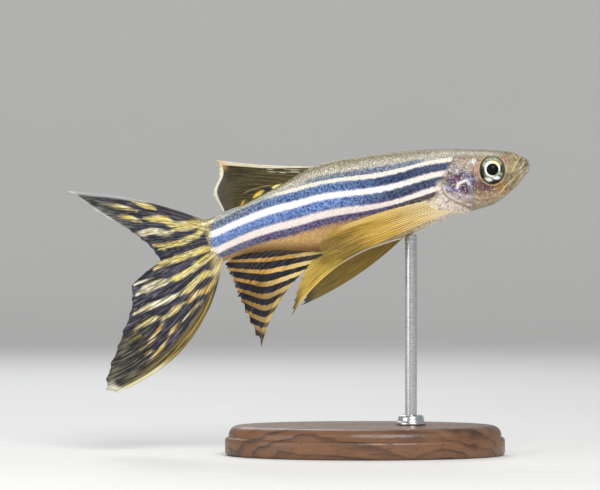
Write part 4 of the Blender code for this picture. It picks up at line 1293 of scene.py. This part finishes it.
def tail_pattern(tree, here, leading):
    """Pale streaks on blue-black. leading paints the lobe's outer edge and its tip."""
    across, along, ray, streak = fin_numbers(tree)
    patchy = noise(here["Place"], 1.1, 1.0)
    inside = number(tree, "band") + (streak - 0.5) * 0.30 + (patchy - 0.5) * 0.26
    share = fade(inside, -0.20, 0.10)
    tone = number(tree, "tone")
    light = blend(fade(tone, 0.0, 0.5), (198, 164, 62), (232, 212, 104))
    light = blend(fade(tone, 0.5, 1.0), light, (228, 222, 196))
    deep = blend(fade(tone, 0.0, 1.0), (96, 76, 28), (138, 130, 92))
    warm = fade(noise(here["Place"], 0.8), 0.48, 0.62, 0.0, 0.45)
    light = blend(warm, light, (204, 160, 70))
    light = blend(fade(streak, 0.60, 0.42, 0.0, 0.92), light, deep)
    threads = noise(joined_up(across * 70.0, along * 9.0, 4.0), 1.0, 1.0)
    # painted highlight: white glints along fine threads in the pale streaks
    light = blend(fade(threads, 0.54, 0.64, 0.0, 0.8), light, (250, 246, 222))
    dark = blend(fade(streak, 0.42, 0.70), (20, 19, 30), (76, 74, 94))
    glints = fade(threads, 0.58, 0.66) * fade(along, 0.1, 0.3) * 0.5
    dark = blend(glints, dark, (134, 132, 134))
    colour = blend(share, dark, light)
    root = fade(along, 0.14, 0.02) * 0.70
    colour = blend(root, colour, blend(fade(streak, 0.42, 0.58), (168, 148, 98), (238, 222, 160)))
    colour = blend(ray * 0.12, colour, (236, 226, 184))
    return leading(across, along, streak, threads, colour)


def upper_edge(across, along, streak, threads, colour):
    slate = blend(fade(threads, 0.42, 0.62), (34, 36, 40), (110, 110, 104))
    tip = fade(along - across * 0.35, 0.66, 0.80)
    colour = blend(tip * 0.9, colour, slate)
    grey = fade(across, 0.06, 0.01) * fade(along, 0.40, 0.60)
    colour = blend(grey * 0.85, colour, (196, 200, 198))
    edge = fade(along, 0.955, 0.985) * fade(across, 0.55, 0.30)
    colour = blend(edge * 0.8, colour, (226, 226, 214))
    return colour, fade(along, 0.5, 1.0, 0.97, 0.86)


def lower_edge(across, along, streak, threads, colour):
    gold = blend(fade(streak, 0.40, 0.62), (54, 46, 20), (166, 142, 66))
    front = fade(across, 0.86, 0.96)
    colour = blend(front * fade(along, 0.1, 0.2) * 0.85, colour, gold)
    smoky = fade(along, 0.66, 0.86) * fade(across, 0.45, 0.60) * fade(across, 0.98, 0.93)
    film = blend(fade(threads, 0.42, 0.62), (26, 26, 20), (104, 100, 76))
    colour = blend(smoky * 0.75, colour, film)
    edge = fade(across, 0.950, 0.975) * fade(along, 0.62, 0.75)
    colour = blend(edge * 0.85, colour, (238, 230, 184))
    tip = fade(along, 0.93, 0.965) * fade(across, 0.80, 0.90)
    colour = blend(tip * 0.9, colour,
                   blend(fade(threads, 0.42, 0.55), (176, 166, 140), (246, 242, 226)))
    return colour, fade(along, 0.55, 1.0, 0.97, 0.88)


def pectoral_pattern(tree, here):
    across, along, ray, streak = fin_numbers(tree)
    film = blend(fade(streak, 0.38, 0.64), (150, 112, 28), (210, 172, 70))
    pale = fade(across, 0.30, 0.12) * fade(along, 0.98, 0.85)
    film = blend(pale * fade(streak, 0.36, 0.60, 0.25, 0.90), film, (226, 198, 122))
    front = fade(along, 0.55, 0.25) * fade(across, 0.75, 0.4)
    film = blend(front * 0.6, film, (186, 162, 98))
    # painted shadow: the fin's outer rear part, lying between belly and belly fins, darkens to
    # olive
    smoky = fade(along, 0.55, 0.9) * fade(across, 0.22, 0.42)
    film = blend(smoky * fade(streak, 0.62, 0.42, 0.45, 0.9), film, (84, 72, 38))
    lines = blend(fade(along, 0.6, 0.2), (222, 190, 104), (236, 222, 180))
    colour = blend(ray * fade(streak, 0.3, 0.6, 0.50, 0.95), film, lines)
    colour = blend(fade(along, 0.24, 0.04) * 0.5, colour, (206, 190, 160))
    return colour, maths("ADD", fade(along, 0.72, 1.0, 0.86, 0.45), ray * 0.25, clamp=True)


def pelvic_pattern(tree, here):
    across, along, ray, streak = fin_numbers(tree)
    film = blend(fade(streak, 0.38, 0.64), (134, 106, 28), (226, 190, 76))
    colour = blend(ray * 0.50, film, (236, 216, 132))
    # painted shade: the far belly fin, on the body's side away from the lamps, is painted darker
    # brown
    far = fade(here["Y"], 0.0, 0.8)
    colour = blend(far * 0.65, colour, (104, 80, 12))
    front = (1.0 - far) * fade(across, 0.09, 0.04)
    white = blend(fade(along, 0.30, 0.55), (240, 238, 232), (222, 188, 86))
    colour = blend(front * 0.95, colour, white)
    tip = fade(along, 0.86, 0.97) * fade(across, 0.5, 0.2)
    colour = blend(tip * 0.8, colour, (54, 44, 26))
    return colour, maths("ADD", fade(along, 0.3, 1.0, 0.90, 0.70), ray * 0.22, clamp=True)


def fin_material(name, pattern):
    material, tree, shader, here = new_material(name, 0.50, coat=0.06, specular=0.25)
    colour, clear = pattern(tree, here)
    connect(colour, shader["Base Color"])
    connect(clear, shader["Alpha"])
    connect(bumped(mosaic_at(here["Place"], 8.0)["Grain"], 0.015, 0.4), shader["Normal"])
    return material


FIN_PATTERNS = {"dorsal": dorsal_pattern, "anal": anal_pattern,
                "tail_upper": partial(tail_pattern, leading=upper_edge),
                "tail_lower": partial(tail_pattern, leading=lower_edge),
                "pectoral": pectoral_pattern, "pelvic": pelvic_pattern}
fin_finishes = {key: fin_material(f"{key}_fin_film", maker) for key, maker in FIN_PATTERNS.items()}


# %% Making the fins
def finish_for(name):
    lobe = name.removesuffix("_right").removesuffix("_left").replace("_fin", "")
    return fin_finishes[lobe]


rays = ray_tree()
for order, (name, fin) in enumerate(FINS.items()):
    draw = np.random.default_rng(40 + order)
    obj = add_object(f"{name}_rayed", fin_mesh(name, fin, draw))
    mesh = apply_tree(obj, rays, Girth=1.0, Sides=6, Finish=finish_for(name))
    mesh.shade_smooth()
    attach(obj, "root")
    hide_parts(name)
    print(obj.name, len(mesh.polygons), "faces")

# %% [markdown]
# ## Scales
# The flank is roofed with thin round scales that lie like tiles, their free edges towards the
# tail, each row shifted by half a scale. Hundreds of them can't be placed by hand, so a geometry
# tree lays them out flat on the skin's unwrap, then folds the sheet round the body: for each
# point it looks up the place and the outward direction that the unwrap stands for. It looks
# them up on the bed, a copy of the skin that turns a little past the middle line of the back,
# where the unwrap begins and ends. A scale keeps its true place on the unwrap as its own flat
# map, because the stripes run across many scales and have to meet from one to the next.

# %% Bed for the scales
BED_FROM, BED_EXTRA = 4.0, 16  # the first place on the body, and columns past the middle line
SCALE_COLUMNS, SCALE_ROWS = 29, 22
SCALES_FROM, SCALES_TO = 0.435, 0.925  # where the scales' middles lie along the unwrap
SCALE_LONG, SCALE_WIDE = 1.62, 1.50  # size of a scale as shares of the spacing
SCALE_THICK, ROOT_DEPTH, EDGE_LIFT = 0.006, 0.024, 0.010
TILE_POINTS = (7, 5, 2)  # points along, across and through one scale
BARE_BEHIND = 0.62  # no scale has its middle nearer than this to the gill opening
SHARP_ANGLE = math.radians(40)  # edges bent more than this shade as edges


def make_bed():
    first = int(np.searchsorted(places, BED_FROM))
    turn_numbers = np.arange(-BED_EXTRA, AROUND + BED_EXTRA + 1)
    columns = turn_numbers % AROUND
    outward = grid_normals(skin_grid)[first:, columns].reshape(-1, 3)
    points = skin_grid[first:, columns].reshape(-1, 3)
    quads = grid_faces(len(places) - first, len(columns))
    mesh = new_mesh("danio_scales", points, [], quads.tolist())
    flat = unwrap(places[first:, None], 2 * math.pi * turn_numbers[None, :] / AROUND)
    add_map(mesh, "unwrap", flat.reshape(-1, 2)[quads.ravel()])
    layer = mesh.attributes.new("outward", "FLOAT_VECTOR", "POINT")
    layer.data.foreach_set("vector", outward.astype(np.float32).ravel())
    add_numbers(mesh, "stripe", stripe_number(points[:, 0], points[:, 2]))
    add_numbers(mesh, "behind", behind[first:, columns].ravel())
    return add_object("danio_scales", mesh)


# %% Geometry tree that lays the scales
def store(geometry, name, value, kind="FLOAT", domain="POINT"):
    return add_node(geometry.tree, "GeometryNodeStoreNamedAttribute",
                    {"Geometry": geometry, "Name": name, "Value": value}, data_type=kind,
                    domain=domain)


def position(tree):
    return add_node(tree, "GeometryNodeInputPosition")


def one_scale(tree, given):
    """A thin closed tile, root at the left, with a rounded free edge."""
    long, wide, thick = TILE_POINTS
    tile = add_node(tree, "GeometryNodeMeshCube", {
        "Size": (1.0, 1.0, 1.0), "Vertices X": long, "Vertices Y": wide, "Vertices Z": thick})
    x, y, z = parts_of(position(tree))
    reach = x + 0.5
    side = y * 2.0
    along = reach * (side * side * -0.30 * reach + 1.0) - 0.5
    belly = maths("SINE", reach * 2.4 + 0.35)
    across = y * (belly * 0.30 + 0.70)
    rise = given["Root depth"] + given["Edge lift"]
    lift = maths("POWER", reach, 1.2) * rise - given["Root depth"]
    tile = store(tile, "reach", reach)
    tile = store(tile, "lift", lift + (z + 0.5) * given["Thickness"])
    flat = joined_up(along * given["Length"], across * given["Width"], 0.0)
    return add_node(tree, "GeometryNodeSetPosition", {"Geometry": tile, "Position": flat})


def looked_up(bed, value, kind="FLOAT"):
    """A value of the bed at the place of the unwrap where this point lies."""
    return add_node(bed.tree, "GeometryNodeSampleUVSurface", {
        "Mesh": bed, "UV Map": stored(bed.tree, "unwrap", "FLOAT_VECTOR"),
        "Sample UV": position(bed.tree), "Value": value}, data_type=kind)


def chance(low, high, seed):
    """A random number between low and high for each point."""
    return add_node(seed.tree, "FunctionNodeRandomValue", {2: low, 3: high, "Seed": seed},
                    output=1, data_type="FLOAT")


def scale_tree():
    tree, given, results = new_tree(
        "laid scales", "GeometryNodeTree",
        {"Geometry": "Geometry", "Columns": 20, "Rows": 20, "From": 0.4, "To": 0.9,
         "Lowest": 0.0, "Around": 1.0, "Length": 0.03, "Width": 0.03, "Thickness": 0.0,
         "Root depth": 0.0, "Edge lift": 0.0, "Seed": 1, "Finish": "Material"},
        {"Geometry": "Geometry"})
    bed = given["Geometry"]
    row_gap = given["Around"] / given["Rows"]
    high = given["Around"] - row_gap
    long = given["To"] - given["From"]
    gap = long / given["Columns"]
    grid = add_node(tree, "GeometryNodeMeshGrid", {
        "Vertices X": given["Columns"], "Vertices Y": given["Rows"], "Size X": long,
        "Size Y": high})
    row = maths("MODULO", add_node(tree, "GeometryNodeInputIndex"), given["Rows"])
    shift = maths("MODULO", row, 2.0) * gap * 0.5
    stray_u = chance(-0.05, 0.05, given["Seed"]) * gap
    stray_v = chance(-0.04, 0.04, given["Seed"] + 1) * row_gap
    offset = joined_up((given["To"] + given["From"]) * 0.5 + shift + stray_u,
                       high * 0.5 + given["Lowest"] + stray_v, 0.0)
    spots = add_node(tree, "GeometryNodeSetPosition", {"Geometry": grid, "Offset": offset})
    spots = add_node(tree, "GeometryNodeMeshToPoints", {"Mesh": spots})
    ahead = looked_up(bed, stored(tree, "behind"))
    bare = add_node(tree, "FunctionNodeCompare", {0: ahead, 1: BARE_BEHIND}, data_type="FLOAT",
                    operation="LESS_THAN")
    spots = add_node(tree, "GeometryNodeDeleteGeometry", {"Geometry": spots, "Selection": bare})
    laid = add_node(tree, "GeometryNodeInstanceOnPoints",
                    {"Points": spots, "Instance": one_scale(tree, given)})
    sheet = add_node(tree, "GeometryNodeRealizeInstances", {"Geometry": laid})
    sheet = store(sheet, "OFBake", position(tree), "FLOAT2", "CORNER")
    for name in ("stripe", "behind"):
        sheet = store(sheet, name, looked_up(bed, stored(tree, name)))
    outward = looked_up(bed, stored(tree, "outward", "FLOAT_VECTOR"), "FLOAT_VECTOR")
    stand_off = add_node(tree, "ShaderNodeVectorMath", {0: outward, "Scale": stored(tree, "lift")},
                         operation="SCALE")
    folded = vector_maths("ADD", looked_up(bed, position(tree), "FLOAT_VECTOR"), stand_off)
    sheet = add_node(tree, "GeometryNodeSetPosition", {"Geometry": sheet, "Position": folded})
    sheet = add_node(tree, "GeometryNodeSetMaterial",
                     {"Geometry": sheet, "Material": given["Finish"]})
    connect(sheet, results["Geometry"])
    return tree


scales = make_bed()
around = 1 - 2 * UNWRAP_MARGIN
mesh = apply_tree(
    scales, scale_tree(), Columns=SCALE_COLUMNS, Rows=SCALE_ROWS, From=SCALES_FROM, To=SCALES_TO,
    Lowest=UNWRAP_MARGIN, Around=around, Thickness=SCALE_THICK * MM, Edge_lift=EDGE_LIFT * MM,
    Length=SCALE_LONG * (SCALES_TO - SCALES_FROM) / SCALE_COLUMNS,
    Width=SCALE_WIDE * around / SCALE_ROWS, Root_depth=ROOT_DEPTH * MM, Seed=5, Finish=flesh)
mesh.shade_smooth()
mesh.set_sharp_from_angle(angle=SHARP_ANGLE)  # else the edges shade dark
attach(scales, "root")
i, j, k = (points - 1 for points in TILE_POINTS)
print("scales:", len(mesh.polygons) // (2 * (i * j + j * k + k * i)))

# %% [markdown]
# ## Eyes
# The eye bulges from its socket as a clear wet dome. From the middle outward it has a round
# black pupil, a bright ring that is broken at the lower front, dark smoky patches before and
# behind, a pale green ring and a dark rim. It is turned as rings round one axis, and its
# material paints by distance and direction from that axis, with streaks that fan out like the
# fibres of a real iris. A smooth surface under a thin clear coat gives the wet look, so no
# glass is needed.

# %% Eye finish and shape
EYE_PATCHES = (  # centre, size, colour, strength: three smoky ones and two sparkles
    ((-0.98, -0.15), (0.36, 0.55), (34, 40, 36), 0.90),
    ((0.98, 0.15), (0.34, 0.50), (34, 40, 36), 0.90),
    ((0.35, -0.98), (0.60, 0.26), (34, 40, 36), 0.90),
    # painted highlights: the two white sparkles at the foot of the iris
    ((-0.50, -0.88), (0.52, 0.20), (248, 250, 244), 1.0),
    ((0.42, -0.70), (0.40, 0.16), (248, 250, 244), 1.0),
)
EYE_TURNS, EYE_RINGS = 96, 72  # points round the eye, and rings from front to back


def eye_material():
    material, _, shader, here = new_material("eye_wet", 0.34, coat=0.05, specular=0.12)
    shader["Coat Roughness"].default_value = 0.03
    x = here["X"] - EYE_CENTRE[0]
    z = here["Z"] - EYE_CENTRE[1]
    ring = vector_maths("LENGTH", joined_up(x, z - 0.05, 0.0))
    z = z / EYE_TALL
    oval = vector_maths("LENGTH", joined_up(x, z, 0.0))
    turn = maths("ARCTAN2", z, x)
    compass = joined_up(maths("COSINE", turn) * 5.0, maths("SINE", turn) * 5.0, ring * 1.2)
    streak = noise(compass, 1.6, 4.0, 0.65)
    speck = mosaic_at(here["Place"], 11.0)["Grain"]
    wobble = (streak - 0.5) * 0.16
    place = ring + wobble
    outer = oval + wobble
    sage = blend(fade(streak, 0.40, 0.62), (96, 108, 86), (206, 212, 176))
    sage = blend(fade(z, -0.2, -0.8) * 0.75, sage, (70, 72, 72))
    arc = fade(z, 0.45, 0.7) * fade(place, 0.96, 0.90)
    sage = blend(arc * 0.7, sage, (52, 54, 34))
    for centre, size, shade, strength in EYE_PATCHES:
        sage = blend(patch(x, z, centre, size, speck) * strength, sage, shade)
    gold = fade(z, 0.25, 0.60) * fade(x, -0.3, 0.1)
    bright = blend(gold, (248, 250, 244), (250, 226, 158))
    broken = fade(x, 0.00, 0.25) * fade(z, 0.05, -0.20) * 0.75
    bright = blend(broken, bright, (120, 132, 104))
    width = fade(z, 0.0, 0.6, 0.76, 0.86)
    colour = blend(fade(place - width, -0.03, 0.05), bright, sage)
    black = blend(fade(x, -0.2, 0.3), (3, 4, 14), (4, 3, 4))
    colour = blend(fade(ring, 0.58, 0.62), black, colour)
    rim = blend(fade(z, -0.3, 0.3), (48, 34, 40), (116, 112, 88))
    colour = blend(fade(outer, 1.08, 1.17), colour, rim)
    connect(colour, shader["Base Color"])
    shine = fade(place, 0.84, 0.92) * fade(outer, 1.15, 0.95)
    connect(shine * 0.25, shader["Metallic"])
    connect(bumped(streak, 0.03, 0.35), shader["Normal"])
    return material


def joined_rings(rings, poles):
    """Faces of rings that all close round, with a fan to a pole at each end."""
    count, around = rings.shape[:2]
    points = np.vstack([rings.reshape(-1, 3), poles])
    faces = grid_faces(count, around, closed=True).tolist()
    first, last = count * around, (count - 1) * around
    for column in range(around):
        after = (column + 1) % around
        faces.append((first, after, column))
        faces.append((first + 1, last + column, last + after))
    return points, faces


def make_piece(name, points, faces, material, slot, *replaced):
    mesh = new_mesh(name, points, [], faces)
    mesh.materials.append(material)
    mesh.shade_smooth()
    obj = add_object(name, mesh)
    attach(obj, "root")
    if replaced:
        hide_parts(*replaced)
    return obj


def eye_points(side):
    turn = np.linspace(0, 2 * math.pi, EYE_TURNS, endpoint=False)
    lean = np.linspace(0, math.pi, EYE_RINGS + 2)[1:-1]
    radius = EYE_RADIUS * np.sin(lean)
    out = EYE_THICKNESS * np.cos(lean)
    dome = np.clip(1 - (radius / (PUPIL_RADIUS + 0.04)) ** 2, 0, 1)
    out += np.where(lean < math.pi / 2, LENS_RISE * dome - 0.03 * bump(radius - 0.70, 0.07), 0)
    rings = np.stack((EYE_CENTRE[0] + radius[:, None] * np.cos(turn),
                      np.repeat(side * (EYE_SIDE + out)[:, None], len(turn), 1),
                      EYE_CENTRE[1] + side * EYE_TALL * radius[:, None] * np.sin(turn)), -1)
    front, back = EYE_THICKNESS + LENS_RISE, -EYE_THICKNESS
    poles = [(EYE_CENTRE[0], side * (EYE_SIDE + off), EYE_CENTRE[1]) for off in (front, back)]
    return joined_rings(rings, poles)


eye_finish = eye_material()
for side, hand in ((-1, "right"), (1, "left")):
    eye = make_piece(f"eye_{hand}_globe", *eye_points(side), eye_finish, "eye", f"eye_{hand}")
print("each eye has", len(eye.data.polygons), "faces")

# %% [markdown]
# ## Feelers
# Two pairs of thin feelers hang at the mouth, a short pair on the upper lip and a longer one at
# the corners. Each is a smooth line with a girth that runs out to a soft point, swept by the
# tree that makes the fin rays, with more sides because it is looked at alone.

# %% Feelers
BARBEL_ROOT, BARBEL_TIP, BARBEL_STEPS = 0.20, 0.045, 44  # two radii, and steps along it


def feeler_material():
    material, tree, shader, here = new_material("feeler_skin", 0.48, coat=0.1)
    grain = mosaic_at(here["Place"], 7.0)
    colour = blend(grain["Mask"], (146, 130, 94), (180, 164, 122))
    colour = blend(dots_at(here["Place"], 7.0, 0.4) * 0.55, colour, (92, 80, 62))
    colour = blend(fade(number(tree, "along"), 0.5, 1.0), colour, (194, 180, 142))
    connect(colour, shader["Base Color"])
    connect(bumped(grain["Grain"], 0.02, 0.5), shader["Normal"])
    return material


def make_feeler(name, points, finish):
    track = smooth_path(points, BARBEL_STEPS)
    share = np.linspace(0, 1, BARBEL_STEPS + 1)
    girth = BARBEL_ROOT + (BARBEL_TIP - BARBEL_ROOT) * share**0.8
    girth *= np.sqrt(np.clip((1.004 - share) / 0.05, 0.02, 1)) * (1 + 0.03 * np.sin(40 * share))
    mesh = new_mesh(name, track, [(k, k + 1) for k in range(BARBEL_STEPS)], [])
    add_numbers(mesh, "girth", girth * MM)
    add_numbers(mesh, "along", share)
    obj = add_object(f"{name}_soft", mesh)
    apply_tree(obj, rays, Girth=1.0, Sides=16, Finish=finish).shade_smooth()
    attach(obj, "root")
    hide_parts(name)
    return obj


feeler_finish = feeler_material()
for side, hand in ((-1, "right"), (1, "left")):
    short = [(15.6, side * 0.2, 29.6), (15.4, side * 1.15, 29.7), (15.0, side * 1.45, 29.0),
             (14.5, side * 1.75, 28.2)]
    long = [(15.0, side * 0.6, 27.9), (14.7, side * 1.65, 27.5), (14.0, side * 1.95, 26.9),
            (13.2, side * 2.2, 26.0)]
    make_feeler(f"barbel_upper_{hand}", short, feeler_finish)
    feeler = make_feeler(f"barbel_lower_{hand}", long, feeler_finish)
print("each feeler has", len(feeler.data.polygons), "faces")

# %% [markdown]
# ## Stand
# A museum would mount so small a fish on one thin steel rod over a turned walnut base. The base
# is an oval with a moulded edge, made as rings that follow one profile. Its grain runs along
# its length and shows as darker lines where the year rings come up to the surface. The rod is
# polished round with fine abrasive, so its scratches run round it, and it is screwed into a
# small steel collar.

# %% Stand finishes
def wood_material():
    material, _, shader, here = new_material("walnut_oiled", 0.42, coat=0.2)
    drift = noise(stretched(here["Place"], 0.05, 0.22, 0.22), 1.0, 3.0)
    level = here["Y"] * 0.55 + here["Z"] * 0.9
    rings = level + drift * 9.0
    wave = maths("FRACT", rings * 0.62)
    late = fade(wave, 0.45, 0.93) * fade(wave, 1.0, 0.95)
    pores = noise(stretched(here["Place"], 0.7, 9.0, 9.0), 1.0, 2.0, 0.6)
    pore = fade(pores, 0.60, 0.70)
    colour = blend(late, (112, 76, 50), (66, 42, 28))
    cloud = noise(stretched(here["Place"], 0.12, 0.5, 0.5), 1.0)
    colour = blend(fade(cloud, 0.40, 0.65, 0.0, 0.5), colour, (134, 94, 62))
    colour = blend(pore * 0.7, colour, (40, 25, 17))
    connect(colour, shader["Base Color"])
    connect(fade(pores, 0.4, 0.7, 0.36, 0.58), shader["Roughness"])
    height = late * 0.25 - pore
    connect(bumped(height, 0.03, 0.6), shader["Normal"])
    return material


def steel_material():
    material, _, shader, here = new_material("steel_brushed", 0.28, metallic=1.0)
    scratches = noise(stretched(here["Place"], 0.6, 0.6, 16.0), 1.0, 3.0, 0.6)
    smudge = noise(here["Place"], 0.35)
    colour = blend(fade(scratches, 0.35, 0.65), (192, 193, 196), (206, 207, 210))
    connect(colour, shader["Base Color"])
    rough = fade(scratches, 0.35, 0.7, 0.24, 0.30) + fade(smudge, 0.5, 0.7, 0.0, 0.10)
    connect(rough, shader["Roughness"])
    connect(bumped(scratches, 0.002, 0.5), shader["Normal"])
    return material


wood, steel = wood_material(), steel_material()
print("stand finishes:", wood.name, "and", steel.name)

# %% Base, collar and rod
BASE_LENGTH, BASE_WIDTH = 28.0, 18.0
ROD_X, ROD_RADIUS = 4.6, 0.6
BASE_PROFILE = (  # how far in from the widest line, and height
    (0.45, 0.0), (0.22, 0.05), (0.06, 0.18), (0.0, 0.36), (0.0, 0.9), (0.0, 1.45), (0.03, 1.62),
    (0.12, 1.74), (0.26, 1.80), (0.34, 1.86), (0.36, 1.96), (0.36, 2.06), (0.40, 2.28),
    (0.50, 2.50), (0.66, 2.70), (0.88, 2.86), (1.15, 2.96), (1.45, 3.0), (2.4, 3.0), (5.0, 3.0),
    (8.0, 3.0))
COLLAR_PROFILE = (  # radius and height
    (1.32, 2.9), (1.48, 3.02), (1.5, 3.1), (1.5, 3.28), (1.44, 3.36), (1.34, 3.40), (1.30, 3.48),
    (1.28, 3.7), (1.24, 3.86), (1.14, 3.96), (1.02, 4.0), (0.84, 4.0), (0.70, 3.97), (0.64, 3.90))


def oval_rings(sizes, centre, around=128):
    """Level ovals, given as half length, half width and height."""
    turn = np.linspace(0, 2 * math.pi, around, endpoint=False)
    sizes = np.array(sizes)
    return np.stack((centre[0] + sizes[:, :1] * np.cos(turn),
                     centre[1] + sizes[:, 1:2] * np.sin(turn),
                     np.repeat(sizes[:, 2:], around, 1)), -1)


def turned(name, sizes, centre, material, slot, *replaced):
    rings = oval_rings(sizes, centre)[::-1]
    poles = [(*centre, sizes[-1][2]), (*centre, sizes[0][2])]
    obj = make_piece(name, *joined_rings(rings, poles), material, slot, *replaced)
    obj.data.set_sharp_from_angle(angle=SHARP_ANGLE)
    return obj


foot = [(BASE_LENGTH / 2 - inset, BASE_WIDTH / 2 - inset, z) for inset, z in BASE_PROFILE]
turned("stand_base_moulded", foot, (0.0, 0.0), wood, "stand_wood", "stand_base")
collar_sizes = [(radius, radius, z) for radius, z in COLLAR_PROFILE]
turned("stand_collar", collar_sizes, (ROD_X, 0.0), steel, "stand_steel")
rod_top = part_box("stand_rod")[1][2] / MM
rod_sizes = [(ROD_RADIUS - 0.1, ROD_RADIUS - 0.1, 3.6), (ROD_RADIUS, ROD_RADIUS, 3.7)]
rod_sizes += [(ROD_RADIUS, ROD_RADIUS, z) for z in np.linspace(4.0, rod_top - 0.1, 24)]
rod_sizes += [(ROD_RADIUS - 0.1, ROD_RADIUS - 0.1, rod_top)]
turned("stand_rod_brushed", rod_sizes, (ROD_X, float(stroke(ROD_X))), steel, "stand_steel",
       "stand_rod")
print("the rod rises to", round(rod_top, 2), "mm")

# %% [markdown]
# ## Floor and light
# The model stands on a plain pale floor that sweeps up into a round wall, so that no horizon
# line shows from any side. Three soft lamps light it: a broad one above and in front, a
# gentler one from the tail's side, and one behind that brings out the edges of the fins.

# %% Floor, wall and lamps
FLOOR_RADIUS, BEND, WALL = 420.0, 200.0, 300.0
BEND_STEPS, SWEEP_TURNS = 16, 96


def make_sweep():
    profile = [(FLOOR_RADIUS, 0.0)]
    for turn in np.linspace(0, math.pi / 2, BEND_STEPS + 1)[1:]:
        profile.append((FLOOR_RADIUS + BEND * math.sin(turn), BEND * (1 - math.cos(turn))))
    profile.append((FLOOR_RADIUS + BEND, WALL))
    sizes = [(radius, radius, height) for radius, height in profile]
    points = oval_rings(sizes, (0.0, 0.0), SWEEP_TURNS).reshape(-1, 3)
    faces = [face[::-1] for face in grid_faces(len(profile), SWEEP_TURNS, closed=True).tolist()]
    mesh = new_mesh("floor_sweep", points, [], [*faces, range(SWEEP_TURNS)])
    mesh.shade_smooth()
    sweep = add_object("floor_sweep", mesh)
    material, _, shader, here = new_material("pale_floor", 0.65)
    shade = blend(noise(here["Place"], 0.02), (236, 235, 232), (241, 240, 237))
    connect(shade, shader["Base Color"])
    mesh.materials.append(material)


def add_lamp(name, place, size, power, tint=(1.0, 1.0, 1.0)):
    """A soft square lamp, aimed at the middle of the fish."""
    lamp = bpy.data.lights.new(name, "AREA")
    lamp.shape, lamp.size = "SQUARE", size * MM
    lamp.energy, lamp.color = power, tint
    obj = add_object(name, lamp)
    obj.location = Vector(place) * MM
    aim = Vector(VIEW_MIDDLE) * MM - obj.location
    obj.rotation_euler = aim.to_track_quat("-Z", "Y").to_euler()


make_sweep()
add_lamp("key_lamp", (60, -220, 200), 160, 0.62)
add_lamp("fill_lamp", (-220, -140, 90), 160, 0.20, (1.0, 0.97, 0.92))
add_lamp("rim_lamp", (-60, 210, 190), 140, 0.20, (0.93, 0.96, 1.0))
world = bpy.data.worlds.new("studio")
world.use_nodes = True
world.node_tree.nodes["Background"].inputs[0].default_value = linear(236, 238, 242)
world.node_tree.nodes["Background"].inputs[1].default_value = 0.48
bpy.context.scene.world = world
bpy.context.scene.view_settings.view_transform = "Standard"
